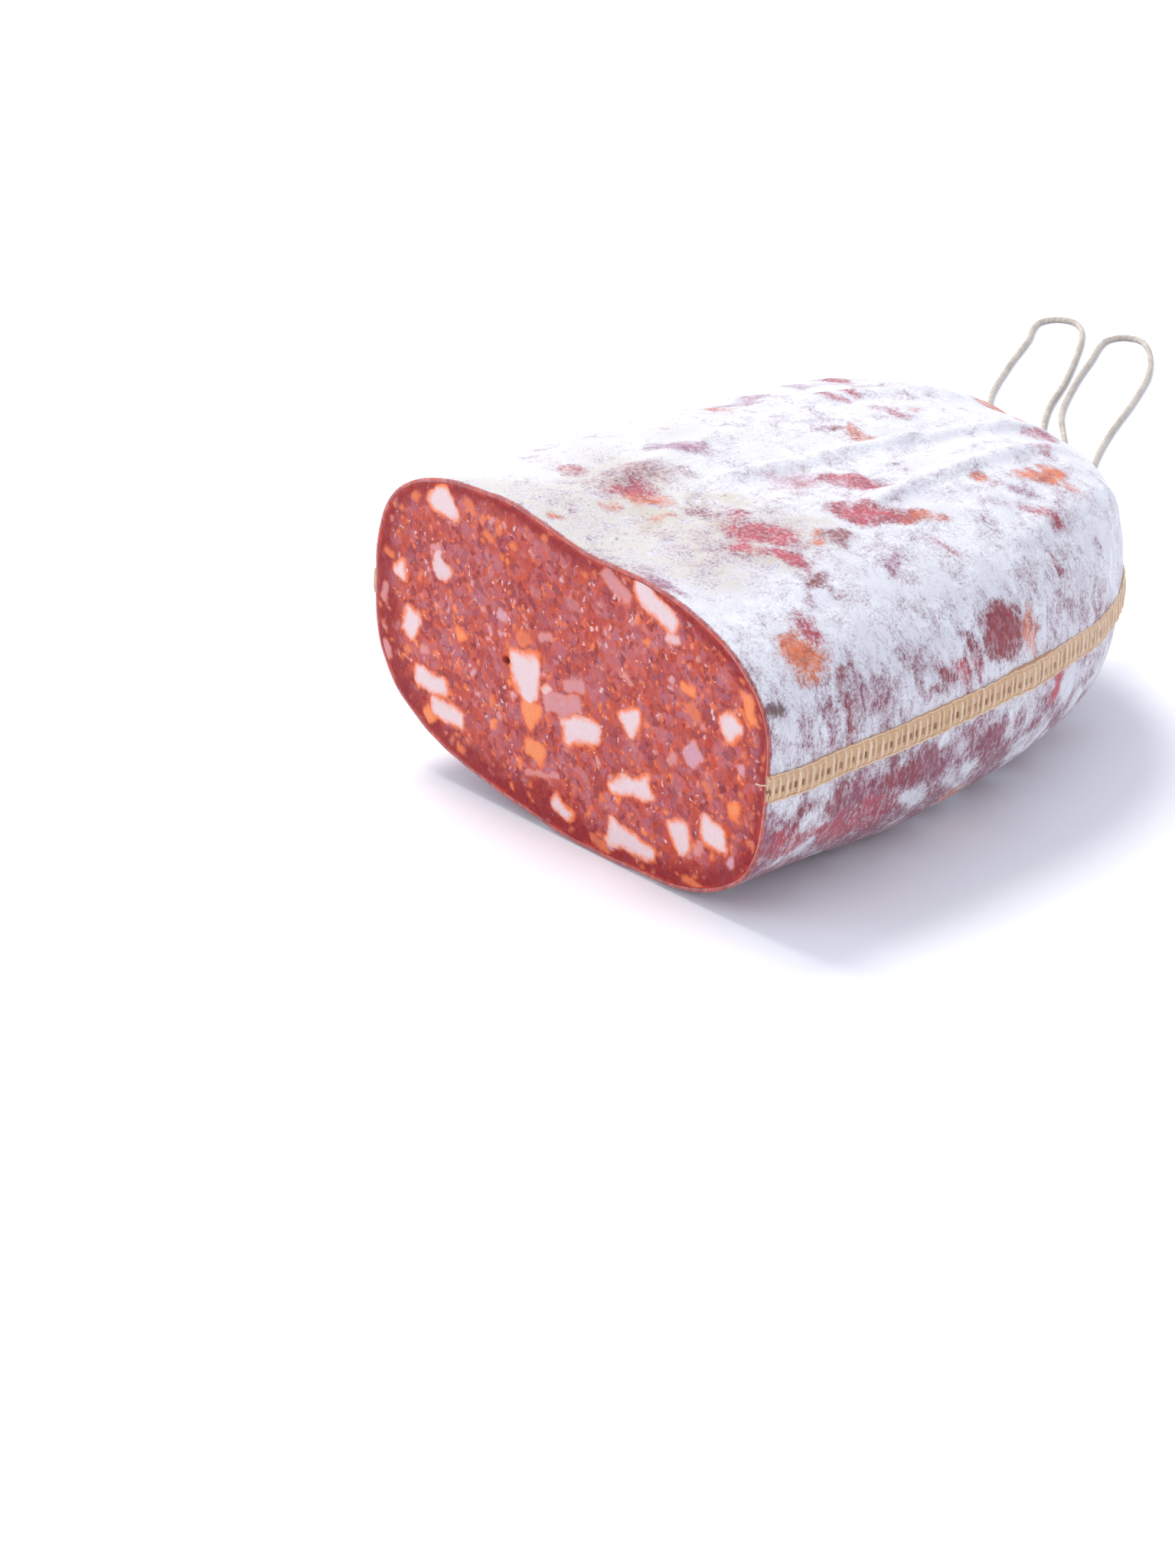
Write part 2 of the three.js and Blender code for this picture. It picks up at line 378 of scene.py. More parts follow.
    def measure(self, name: str, output: str = "Fac") -> bpy.types.NodeSocket:
        """Reads a measure or tint stored on the mesh."""
        return self.add("Attribute", attribute_name=name).outputs[output]

    def place(self) -> bpy.types.NodeSocket:
        """Gives the place on the object, in millimetres."""
        return self.scaled(self.add("TexCoord").outputs["Object"], (1000.0, 1000.0, 1000.0))

    def run(self) -> bpy.types.NodeSocket:
        """Reads the UV map of lengths along and around a piece."""
        return self.add("UVMap", uv_map="run").outputs[0]

    def effect(self, tree: bpy.types.NodeTree, **inputs: Feed) -> bpy.types.Node:
        """Places a shared group and feeds its inputs by name."""
        node = self.add("Group", node_tree=tree)
        for name, value in inputs.items():
            self.feed(node.inputs[name], value)
        return node

    def bump(self, height: Feed, strength: float, depth: float) -> bpy.types.NodeSocket:
        """Turns a height, 0 to 1 for a depth in millimetres, into a surface direction."""
        node = self.add("Bump")
        node.inputs["Strength"].default_value = strength
        node.inputs["Distance"].default_value = depth * MM
        self.feed(node.inputs["Height"], height)
        return node.outputs[0]


class Effects:
    """Shader groups that several finishes share, each built once."""

    def __init__(self) -> None:
        """Builds every group."""
        self.mottle = self._mottle()
        self.specks = self._specks()
        self.strokes = self._strokes()
        self.fibres = self._fibres()

    @staticmethod
    def _group(
        name: str, inputs: Sequence[tuple[str, str]], outputs: Sequence[str]
    ) -> tuple[Graph, bpy.types.Node, bpy.types.Node]:
        """Starts a group.

        Args:
            name: The group's name.
            inputs: Name and kind of each input socket.
            outputs: Names of the output masks.

        Returns:
            The group's graph, its input node and its output node.
        """
        tree = bpy.data.node_groups.new(name, "ShaderNodeTree")
        for label, kind in inputs:
            tree.interface.new_socket(label, in_out="INPUT", socket_type=kind)
        for label in outputs:
            tree.interface.new_socket(label, in_out="OUTPUT", socket_type="NodeSocketFloat")
        graph = Graph(tree)
        return graph, graph.add("NodeGroupInput"), graph.add("NodeGroupOutput")

    def _mottle(self) -> bpy.types.NodeTree:
        """Cloudy unevenness: coarse noise and noise a quarter its size, as a mask."""
        graph, given, result = self._group(
            "mottle", [("Place", "NodeSocketVector"), ("Scale", "NodeSocketFloat")], ["Mask"]
        )
        sized = graph.sized(given.outputs["Place"], given.outputs["Scale"])
        coarse = graph.noise(sized, 1.0, 3.0, 0.55).outputs[0]
        fine = graph.noise(sized, 0.25, 2.0, 0.6).outputs[0]
        both = graph.plus(graph.times(coarse, 0.65), graph.times(fine, 0.35))
        graph.feed(result.inputs["Mask"], graph.step(both, 0.32, 0.68))
        return graph.tree

    def _specks(self) -> bpy.types.NodeTree:
        """Small crumbs: the middles of random cells, in only a share of the cells."""
        graph, given, result = self._group(
            "specks",
            [("Place", "NodeSocketVector"), ("Scale", "NodeSocketFloat"), ("Share", "NodeSocketFloat"),
             ("Size", "NodeSocketFloat")],
            ["Mask", "Lot"],
        )
        wobble = graph.noise(given.outputs["Place"], 0.9, 2.0, 0.6).outputs["Color"]
        shaken = graph.moved(given.outputs["Place"], graph.scaled(wobble, (0.9, 0.9, 0.9)))
        cells = graph.cells(graph.sized(shaken, given.outputs["Scale"]), 1.0)
        lot = graph.split(cells.outputs["Color"])
        chosen = graph.math("LESS_THAN", lot[0], given.outputs["Share"])
        reach = graph.times(given.outputs["Size"], graph.plus(lot[1], 0.45))
        inside = graph.minus(reach, cells.outputs["Distance"])
        mask = graph.times(graph.step(inside, 0.0, 0.07), chosen)
        graph.feed(result.inputs["Mask"], mask)
        graph.feed(result.inputs["Lot"], lot[2])
        return graph.tree

    def _strokes(self) -> bpy.types.NodeTree:
        """Short hair-thin strokes: level lines of a noise, kept only where a second noise is high."""
        graph, given, result = self._group(
            "strokes",
            [("Place", "NodeSocketVector"), ("Width", "NodeSocketFloat"), ("Rarity", "NodeSocketFloat")],
            ["Mask"],
        )
        level = graph.noise(given.outputs["Place"], 2.6, 1.0, 0.5, 0.6).outputs[0]
        off_level = graph.math("ABSOLUTE", graph.minus(level, 0.5))
        line = graph.step(off_level, given.outputs["Width"], 0.0)
        shifted = graph.moved(given.outputs["Place"], (31.0, 17.0, 5.0))
        where = graph.noise(shifted, 1.5, 1.0, 0.5).outputs[0]
        kept = graph.step(where, given.outputs["Rarity"], graph.plus(given.outputs["Rarity"], 0.05))
        graph.feed(result.inputs["Mask"], graph.times(line, kept))
        return graph.tree

    def _fibres(self) -> bpy.types.NodeTree:
        """Spun fibre: noise drawn out along the run of a thread, in a UV map of millimetres."""
        graph, given, result = self._group(
            "fibres", [("Place", "NodeSocketVector"), ("Slant", "NodeSocketFloat")], ["Mask"]
        )
        parts = graph.axes(given.outputs["Place"])
        across = graph.plus(parts[1], graph.times(parts[0], given.outputs["Slant"]))
        joined = graph.add("CombineXYZ")
        graph.feed(joined.inputs[0], graph.times(parts[0], 0.5))
        graph.feed(joined.inputs[1], graph.times(across, 6.0))
        strands = graph.noise(joined.outputs[0], 1.0, 3.0, 0.6).outputs[0]
        graph.feed(result.inputs["Mask"], graph.step(strands, 0.3, 0.7))
        return graph.tree


def new_material(name: str) -> tuple[bpy.types.Material, Graph, bpy.types.Node]:
    """Starts a material with one Principled shader.

    Args:
        name: The material's name.

    Returns:
        The material, its graph and its Principled node.
    """
    material = bpy.data.materials.new(name)
    material.use_nodes = True
    graph = Graph(material.node_tree)
    return material, graph, material.node_tree.nodes["Principled BSDF"]


# ------------------------------------------------------------------------------------------------
# Finishes


@dataclass(frozen=True)
class CuredMeat:
    """Coarsely minced, paprika-stained meat with diced fat, freshly cut."""

    plum: Colour = shade(156, 70, 80)
    brick: Colour = shade(170, 62, 56)
    lilac: Colour = shade(184, 116, 128)
    ember: Colour = shade(214, 88, 46)
    burgundy: Colour = shade(112, 20, 32)
    crust: Colour = shade(134, 18, 28)
    edge: Colour = shade(200, 64, 40)
    stain: Colour = shade(236, 122, 66)
    crumb: Colour = shade(228, 190, 190)
    # Painted shade: the colour inside the torn pit.
    pit: Colour = shade(92, 24, 24)

    def material(self, effects: Effects) -> bpy.types.Material:
        """Builds the material from the mesh's fat, stain, rim, crust and pit measures and its fat tint; the
        pit measure paints shade into the torn pit.

        Args:
            effects: The shared groups.

        Returns:
            The material.
        """
        material, graph, skin = new_material("cured_meat")
        place = graph.place()
        drift = graph.noise(place, 3.0, 2.0, 0.6).outputs["Color"]
        warped = graph.moved(place, graph.scaled(drift, (3.2, 3.2, 3.2)))
        grain = graph.cells(warped, 4.6)
        lot = graph.split(grain.outputs["Color"])
        cloud = graph.effect(effects.mottle, Place=place, Scale=0.16).outputs[0]
        fine = graph.effect(effects.mottle, Place=place, Scale=1.1).outputs[0]

        colour = graph.mix(graph.step(lot[0], 0.35, 1.0), self.plum, self.brick)
        colour = graph.mix(graph.times(graph.step(lot[1], 0.55, 0.9), 0.7), colour, self.lilac)
        colour = graph.mix(graph.times(cloud, 0.25), colour, self.brick)
        seams = graph.cells(warped, 4.6, "DISTANCE_TO_EDGE").outputs["Distance"]
        between = graph.step(graph.plus(seams, graph.times(fine, 0.12)), 0.24, 0.05)
        colour = graph.mix(graph.times(between, 0.5), colour, self.ember)
        shifted = graph.moved(warped, (9.0, 4.0, 2.0))
        mince = graph.split(graph.cells(shifted, 1.5).outputs["Color"])
        colour = graph.mix(graph.step(mince[0], 0.35, 1.0, 0.0, 0.5), colour, self.lilac)
        colour = graph.mix(graph.step(mince[1], 0.3, 1.0, 0.0, 0.6), colour, self.burgundy)
        colour = graph.mix(graph.step(mince[2], 0.6, 1.0, 0.0, 0.5), colour, self.ember)
        small = graph.cells(shifted, 1.5, "DISTANCE_TO_EDGE")
        threads = graph.step(small.outputs["Distance"], 0.16, 0.02)
        broken = graph.times(threads, graph.step(fine, 0.4, 0.75))
        colour = graph.mix(graph.times(broken, 0.55), colour, self.ember)
        colour = graph.mix(graph.times(fine, 0.16), colour, self.burgundy)

        sparks = graph.effect(effects.specks, Place=warped, Scale=0.66, Share=0.36, Size=0.3)
        colour = graph.mix(graph.times(sparks.outputs[0], 0.7), colour, self.stain)
        crumbs = graph.effect(effects.specks, Place=warped, Scale=0.75, Share=0.12, Size=0.26)
        colour = graph.mix(graph.times(crumbs.outputs[0], 0.62), colour, self.crumb)
        wide = graph.scaled(place, (0.6, 0.6, 0.6))
        hairs = graph.effect(effects.strokes, Place=wide, Width=0.045, Rarity=0.645)
        colour = graph.mix(graph.times(hairs.outputs[0], 0.9), colour, self.crumb)

        crust = graph.plus(graph.measure("crust"), graph.times(cloud, -0.4))
        colour = graph.mix(graph.step(crust, 1.0, 0.05, 0.0, 0.84), colour, self.crust)
        line = graph.step(graph.measure("rim"), 0.8, 0.1, 0.0, 0.7)
        line = graph.times(line, graph.step(cloud, 0.25, 0.75, 0.1, 1.0))
        colour = graph.mix(line, colour, self.edge)

        wobble = graph.minus(graph.noise(place, 1.3, 4.0, 0.62).outputs[0], 0.5)
        depth = graph.plus(graph.measure("fat"), graph.times(wobble, 1.5))
        stain = graph.times(graph.measure("stain"), graph.step(cloud, 0.0, 0.9, 0.45, 1.0))
        halo = graph.times(graph.step(depth, 0.8, 0.0, 0.0, 0.8), stain)
        colour = graph.mix(halo, colour, self.stain)
        fat = graph.mix(
            graph.times(graph.step(depth, -1.5, 0.1), stain),
            graph.measure("fat_tint", "Color"),
            self.stain,
        )
        veined = graph.mix(graph.times(fine, 0.1), fat, self.lilac)
        shown = graph.times(graph.step(depth, 0.35, -0.45), graph.measure("fat_tint", "Alpha"))
        colour = graph.mix(shown, colour, veined)
        # Painted shade: the torn pit is darkened.
        colour = graph.mix(graph.measure("pit"), colour, self.pit)

        graph.feed(skin.inputs["Base Color"], colour)
        gloss = graph.plus(graph.times(fine, 0.16), 0.36)
        graph.feed(skin.inputs["Roughness"], graph.minus(gloss, graph.times(shown, 0.05)))
        skin.inputs["Specular IOR Level"].default_value = 0.15
        relief = graph.plus(graph.times(fine, 0.5), graph.times(seams, 0.5))
        graph.feed(skin.inputs["Normal"], graph.bump(relief, 0.5, 0.25))
        skin.inputs["Subsurface Weight"].default_value = 0.2
        skin.inputs["Subsurface Radius"].default_value = (1.0, 0.35, 0.25)
        skin.inputs["Subsurface Scale"].default_value = 0.0015
        return material


@dataclass(frozen=True)
class MouldedCasing:
    """A natural casing under a white, powdery mould that lets the meat's colour through."""

    bloom: Colour = shade(238, 238, 238)
    thin_bloom: Colour = shade(206, 202, 210)
    aged_bloom: Colour = shade(194, 182, 162)
    deep: Colour = shade(104, 26, 44)
    fibre: Colour = shade(88, 84, 76)

    def material(self, effects: Effects) -> bpy.types.Material:
        """Builds the material from the mesh's bare, shows, aged and flank measures.

        Args:
            effects: The shared groups.

        Returns:
            The material.
        """
        material, graph, skin = new_material("moulded_casing")
        place = graph.place()
        big = graph.noise(place, 9.0, 3.0, 0.55, 0.3).outputs[0]
        level = graph.noise(graph.scaled(place, (0.8, 0.66, 1.0)), 3.0, 5.0, 0.68, 0.5).outputs[0]
        upright = graph.noise(graph.scaled(place, (0.9, 1.1, 0.55)), 2.6, 5.0, 0.68, 0.5).outputs[0]
        flank = graph.measure("flank")
        streak = graph.plus(
            graph.times(level, graph.minus(1.0, flank)),
            graph.times(upright, flank),
        )
        powder = graph.noise(place, 0.62, 3.0, 0.7).outputs[0]
        grit = graph.noise(place, 0.27, 2.0, 0.6).outputs[0]
        spread = graph.minus(big, 0.5)
        lively = graph.plus(graph.times(flank, 0.25), 1.36)
        spread = graph.plus(spread, graph.times(graph.minus(streak, 0.5), lively))
        spread = graph.plus(spread, graph.times(graph.minus(powder, 0.5), 1.2))
        spread = graph.plus(spread, graph.times(graph.minus(grit, 0.5), 0.5))
        growth = graph.minus(graph.plus(spread, 0.8), graph.measure("bare"))
        cover = graph.step(growth, 0.02, 0.76)

        through = graph.mix(
            graph.step(streak, 0.62, 0.36, 0.0, 0.55), graph.measure("shows", "Color"), self.deep
        )
        dust = graph.noise(graph.scaled(place, (1.2, 1.2, 0.55)), 1.1, 4.0, 0.72).outputs[0]
        veil = graph.times(
            graph.step(dust, 0.46, 0.62), graph.step(graph.measure("bare"), 1.25, 0.6, 0.16, 0.6)
        )
        through = graph.mix(veil, through, self.thin_bloom)
        bloom = graph.mix(graph.step(big, 0.4, 0.64, 0.0, 0.6), self.bloom, self.thin_bloom)
        bloom = graph.mix(graph.step(growth, 1.15, 0.5, 0.0, 0.75), bloom, self.thin_bloom)
        aged = graph.times(graph.measure("aged"), graph.step(streak, 0.34, 0.56))
        bloom = graph.mix(aged, bloom, self.aged_bloom)
        colour = graph.mix(cover, through, bloom)
        threads = graph.effect(
            effects.strokes, Place=graph.scaled(place, (0.8, 0.5, 0.8)), Width=0.016, Rarity=0.55
        )
        dark = graph.times(threads.outputs[0], graph.plus(graph.measure("aged"), 0.16))
        colour = graph.mix(graph.times(dark, 0.75), colour, self.fibre)

        graph.feed(skin.inputs["Base Color"], colour)
        graph.feed(skin.inputs["Roughness"], graph.plus(graph.times(cover, 0.35), 0.56))
        fluff = graph.plus(graph.times(powder, 0.5), graph.times(grit, 0.3))
        relief = graph.plus(fluff, graph.times(cover, 0.4))
        graph.feed(skin.inputs["Normal"], graph.bump(relief, 0.45, 0.35))
        skin.inputs["Sheen Weight"].default_value = 0.15
        skin.inputs["Sheen Roughness"].default_value = 0.6
        return material


@dataclass(frozen=True)
class SeamCloth:
    """Golden-tan woven seam band; the needle holes between the stitches are darker, as painted shade."""

    gold: Colour = shade(206, 166, 126)
    straw: Colour = shade(222, 186, 150)
    powdered: Colour = shade(236, 222, 210)
    amber: Colour = shade(222, 160, 112)
    # Painted shade: the colour of the needle holes between the stitches.
    hole_shade: Colour = shade(138, 100, 66)

    def material(self, effects: Effects, pitch: float, half_width: float) -> bpy.types.Material:
        """Builds the material on the band's run map.

        Args:
            effects: The shared groups.
            pitch: Distance between two stitches, in millimetres.
            half_width: Half the band's width, in millimetres.

        Returns:
            The material.
        """
        material, graph, skin = new_material("seam_cloth")
        run = graph.run()
        along, across, _ = graph.axes(run)
        place = graph.place()
        cloud = graph.effect(effects.mottle, Place=place, Scale=0.3).outputs[0]
        strands = graph.effect(effects.fibres, Place=run, Slant=0.0).outputs[0]
        colour = graph.mix(strands, self.gold, self.straw)
        colour = graph.mix(graph.times(cloud, 0.5), colour, self.gold)
        turn = graph.times(along, math.pi / pitch)
        gap = graph.math("ABSOLUTE", graph.math("COSINE", turn))
        middle = graph.math("ABSOLUTE", graph.plus(across, graph.times(half_width, 0.12)))
        # Painted shade: dark dots at the needle holes between the stitch bars.
        dot = graph.times(graph.step(gap, 0.7, 0.92), graph.step(middle, 1.0, 0.45))
        kept = graph.step(graph.noise(run, 5.0, 2.0).outputs[0], 0.4, 0.55, 0.25, 1.0)
        colour = graph.mix(graph.times(dot, kept), colour, self.hole_shade)
        towards_tail = graph.step(graph.axes(place)[1], -20.0, 75.0)
        powder = graph.times(towards_tail, graph.step(cloud, 0.0, 0.8, 0.3, 0.7))
        colour = graph.mix(powder, colour, self.powdered)
        upper = graph.step(across, half_width * 0.55, half_width * 0.95)
        colour = graph.mix(graph.times(upper, 0.5), colour, self.amber)
        graph.feed(skin.inputs["Base Color"], colour)
        graph.feed(skin.inputs["Roughness"], graph.plus(graph.times(strands, 0.12), 0.76))
        relief = graph.plus(graph.times(strands, 0.5), graph.times(dot, -0.8))
        graph.feed(skin.inputs["Normal"], graph.bump(relief, 0.5, 0.3))
        return material


@dataclass(frozen=True)
class SpunFibre:
    """Plied thread or twine, lighter on its strands and darker between them, with painted shade in the
    grooves between the plies.
    """

    name: str
    light: Colour
    dark: Colour
    slant: float = 1.2

    def material(self, effects: Effects) -> bpy.types.Material:
        """Builds the material on the piece's run map and its groove measure, which paints shade into the
        grooves between the plies.

        Args:
            effects: The shared groups.

        Returns:
            The material.
        """
        material, graph, skin = new_material(self.name)
        run = graph.run()
        strands = graph.effect(effects.fibres, Place=run, Slant=self.slant).outputs[0]
        wear = graph.effect(effects.mottle, Place=graph.place(), Scale=0.12).outputs[0]
        lit = graph.times(graph.plus(strands, wear), 0.5)
        colour = graph.mix(lit, self.dark, self.light)
        # Painted shade: the grooves between the plies are darkened towards the dark tone.
        colour = graph.mix(graph.times(graph.measure("groove"), 0.6), colour, self.dark)
        graph.feed(skin.inputs["Base Color"], colour)
        graph.feed(skin.inputs["Roughness"], graph.plus(graph.times(strands, 0.1), 0.8))
        graph.feed(skin.inputs["Normal"], graph.bump(strands, 0.4, 0.15))
        return material


# ------------------------------------------------------------------------------------------------
# The body's surface


@dataclass(frozen=True)
class Ridge:
    """A soft raised line on the skin, between two places given along the body and around it."""

    start: tuple[float, float]
    end: tuple[float, float]
    half_width: float
    height: float


@dataclass
class BodyShape:
    """The body as a surface of a share of the length and an angle of the section, in millimetres."""

    width: float = 126.0
    height: float = 66.6
    length: float = 149.6
    width_lost: float = 12.0
    height_lost: float = 4.4
    corner_power: float = 2.85
    bluntness: float = 5.9
    plan_power: float = 1.8
    side_power: float = 2.4
    roll_at_cut: float = math.radians(-4.7)
    roll_at_tail: float = math.radians(-1)
    lean: float = 10.2
    bow: float = 4.0
    middle_raised: float = 2.4
    hollow: tuple[float, float, float] = (2.5, 15.0, 3.0)
    belly: tuple[float, float, float] = (1.6, 6.6, 0.4)
    softness: float = 1.5
    seam_heights: tuple[float, float] = (2.1, -4.5)
    ridges: tuple[Ridge, ...] = (
        Ridge((46, -3), (98, 7), 2.7, 2.2),
        Ridge((92, 6), (136, 13), 2.4, 2.4),
        Ridge((64, 25), (130, 24), 2.7, 2.1),
        Ridge((94, -24), (144, -6), 3.0, 1.9),
        Ridge((88, 50), (140, 36), 3.4, 1.4),
        Ridge((20, -16), (66, -20), 3.6, 0.9),
        Ridge((104, -46), (146, -20), 3.6, 1.0),
        Ridge((78, 80), (128, 62), 3.6, 0.7),
    )
    place: Array = field(default_factory=lambda: np.zeros(3))

    def settle(self, low: Sequence[float], high: Sequence[float]) -> None:
        """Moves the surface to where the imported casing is.

        Args:
            low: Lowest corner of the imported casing, in metres.
            high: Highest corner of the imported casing, in metres.
        """
        share, angle = np.meshgrid(np.linspace(0, 1, 200), np.linspace(0, math.tau, 720), indexing="ij")
        points = self.skin(share, angle)
        middle = (points.min((0, 1))[0] + points.max((0, 1))[0]) / 2
        self.place = np.array([(low[0] + high[0]) / 2 / MM - middle, low[1] / MM, 0.0])

    def skin(self, share: Array, angle: Array, inset: float = 0.0, swell: Array | float = 0.0) -> Array:
        """Places on the body.

        The section is a rounded box: half width times cos to the power 2/2.85 and half height times
        sin to the same power. Both halves shrink a little along the length and close at the tail by
        roots of (1 - share to 5.9). The section has a shallow hollow on top and a lower belly, is
        rolled, carried sideways, and pressed flat at the level that it rests on.

        Args:
            share: Share of the length, 0 at the cut and 1 at the tail.
            angle: Angle of the section, from +X towards +Z.
            inset: Depth below the skin.
            swell: Height above the skin, one for each place.

        Returns:
            Places in the row frame, in millimetres.
        """
        closing = 1 - share**self.bluntness
        plan = closing ** (1 / self.plan_power)
        side = closing ** (1 / self.side_power)
        at_cut, behind, over = self.belly
        belly = at_cut + (behind - at_cut) * ease(share / over)
        half_width = self.width / 2 - self.width_lost / 2 * share - inset + swell
        half_height = self.height / 2 - self.height_lost / 2 * share - inset + swell
        x = half_width * plan * signed_power(np.cos(angle), 2 / self.corner_power)
        rise = signed_power(np.sin(angle), 2 / self.corner_power)
        depth, reach, offset = self.hollow
        dip = depth * np.exp(-(((x - offset) / reach) ** 2)) * (1 - share)
        z = np.where(rise > 0, (half_height * side - dip) * rise, (half_height + belly) * side * rise)
        roll = self.roll_at_cut + (self.roll_at_tail - self.roll_at_cut) * ease(share / 0.8)
        sideways = x * np.cos(roll) - z * np.sin(roll) - self.lean * share - self.bow * share**2
        upright = x * np.sin(roll) + z * np.cos(roll) + self.height / 2 + self.middle_raised
        above = upright - inset
        soft = (above + self.softness) ** 2 / (4 * self.softness)
        pressed = np.where(above >= self.softness, above, np.where(above <= -self.softness, 0.0, soft))
        points = np.stack([sideways, share * (self.length - inset), pressed + inset], axis=-1)
        return points + self.place

    def even_angles(self, count: int) -> Array:
        """Section angles whose places lie evenly around the body near its middle."""
        fine = np.linspace(0, math.tau, 7200)
        ring = self.skin(np.full_like(fine, 0.3), fine)
        run = lengths_along(ring)
        return np.interp(np.linspace(0, run[-1], count, endpoint=False), run, fine)

    def even_shares(self, count: int) -> Array:
        """Shares of the length, 0 and 1 included, whose places lie evenly down the body."""
        fine = 1 - (1 - np.linspace(0, 1, 4000)) ** 3
        lines = [self.skin(fine, np.full_like(fine, angle)) for angle in (0.35, math.pi / 2, 2.4)]
        steps = sum(np.linalg.norm(np.diff(line, axis=0), axis=1) for line in lines)
        run = np.concatenate([[0], np.cumsum(steps)])
        return np.interp(np.linspace(0, run[-1], count), run, fine)

    def map_of(self, share: Array, angle: Array) -> tuple[Array, Array]:
        """Lengths on the skin, for placing things.

        Args:
            share: Shares of the length, one for each row.
            angle: Section angles, one for each column, rising from 0.

        Returns:
            The length along the top from the cut, one for each row and column, and the length around
            the section from the top, positive towards +X.
        """
        rows, columns = np.meshgrid(share, np.append(angle, math.tau), indexing="ij")
        points = self.skin(rows, columns)
        around = np.cumsum(np.linalg.norm(np.diff(points, axis=1), axis=-1), axis=1)
        around = np.concatenate([np.zeros((len(share), 1)), around], axis=1)
        top = np.array([np.interp(math.pi / 2, columns[0], row) for row in around])
        whole = around[:, -1:]
        turned = top[:, None] - around[:, :-1]
        turned = np.where(turned < -whole / 2, turned + whole, turned)
        line = self.skin(share, np.full_like(share, math.pi / 2))
        along = lengths_along(line)
        return np.broadcast_to(along[:, None], turned.shape), turned

    def seam_angle(self, share: Array) -> Array:
        """Section angle of the seam on the +X side; on the other side it is half a turn on."""
        start, end = self.seam_heights
        height = start + (end - start) * share
        return np.arcsin(signed_power(height / (self.height / 2), self.corner_power / 2))

    def relief_at(self, share: Array, angle: Array) -> Array:
        """Height of the unevenness at single places, read off a grid of it between its points."""
        rows, columns = self.even_shares(206), self.even_angles(384)
        heights = self.relief(rows, columns)
        heights = np.concatenate([heights[:, -1:], heights, heights[:, :1]], axis=1)
        columns = np.concatenate([columns[-1:] - math.tau, columns, columns[:1] + math.tau])
        row = np.interp(share, rows, np.arange(len(rows)))
        column = np.interp(np.mod(angle, math.tau), columns, np.arange(len(columns)))
        i = np.minimum(row.astype(int), len(rows) - 2)
        j = np.minimum(column.astype(int), len(columns) - 2)
        u, v = row - i, column - j
        near = heights[i, j] * (1 - v) + heights[i, j + 1] * v
        far = heights[i + 1, j] * (1 - v) + heights[i + 1, j + 1] * v
        return near * (1 - u) + far * u

    def relief(self, share: Array, angle: Array) -> Array:
        """Height of the skin's own unevenness over the plain shape.

        It is a sum. Three lattice noises run from broad lumps to small ones. Each ridge has a
        bell-shaped section between shallow dips, and fades in and out along its line. The puckers
        are a cosine along the body that dies away within a few millimetres of the seam.

        Args:
            share: Shares of the length, one for each row.
            angle: Section angles, one for each column, rising from 0.

        Returns:
            Heights in millimetres, one for each row and column.
        """
        rows, columns = np.meshgrid(share, angle, indexing="ij")
        points = self.skin(rows, columns)
        lumps = 0.8 * lattice_noise(points, 27.0, 3)
        lumps += 0.46 * lattice_noise(points, 12.0, 4) + 0.16 * lattice_noise(points, 5.0, 5)
        along, around = self.map_of(share, angle)
        for ridge in self.ridges:
            (a0, b0), (a1, b1) = ridge.start, ridge.end
            run = np.hypot(a1 - a0, b1 - b0)
            u = ((along - a0) * (a1 - a0) + (around - b0) * (b1 - b0)) / run
            v = ((around - b0) * (a1 - a0) - (along - a0) * (b1 - b0)) / run
            fade = ease(u / 12 + 0.5) * ease((run - u) / 12 + 0.5)
            near = (v / ridge.half_width) ** 2
            lumps = lumps + ridge.height * fade * (np.exp(-near) - 0.4 * np.exp(-near / 7))
        off_seam = points[..., 2] - self.skin(rows, self.seam_angle(rows))[..., 2]
        beside = np.exp(-((off_seam / 7.0) ** 2)) * ease((np.abs(np.cos(columns)) - 0.5) / 0.3)
        puckers = 0.16 * np.cos(along * math.tau / 4.1 + 2.2 * lattice_noise(points, 18.0, 6))
        lumps = lumps + beside * (puckers * ease(rows / 0.05) - 0.1)
        return lumps * ease((1 - rows) / 0.02)


# ------------------------------------------------------------------------------------------------
# The casing


class Through(Enum):
    """What shows through where the mould is thin."""

    RED = shade(188, 58, 72)
    ORANGE = shade(226, 116, 58)
    BURGUNDY = shade(142, 18, 34)
    BROWN = shade(150, 82, 78)
    LILAC = shade(166, 116, 140)
    OLIVE = shade(104, 100, 92)
    DUSK = shade(140, 66, 88)


@dataclass(frozen=True)
class Patch:
    """A thin place in the mould, by its middle, half sizes and turn on the skin."""

    along: float
    around: float
    half_long: float
    half_wide: float
    turn: float
    shows: Through
    strength: float = 1.0

    def reach(self, along: Array, around: Array) -> Array:
        """How far places lie from the middle, as 1 at the patch's edge.

        Args:
            along: Lengths along the body.
            around: Lengths around the body.

        Returns:
            The distance in the patch's own ellipse.
        """
        cos, sin = math.cos(math.radians(self.turn)), math.sin(math.radians(self.turn))
        u = (along - self.along) * cos + (around - self.around) * sin
        v = (around - self.around) * cos - (along - self.along) * sin
        return np.hypot(u / self.half_long, v / self.half_wide)


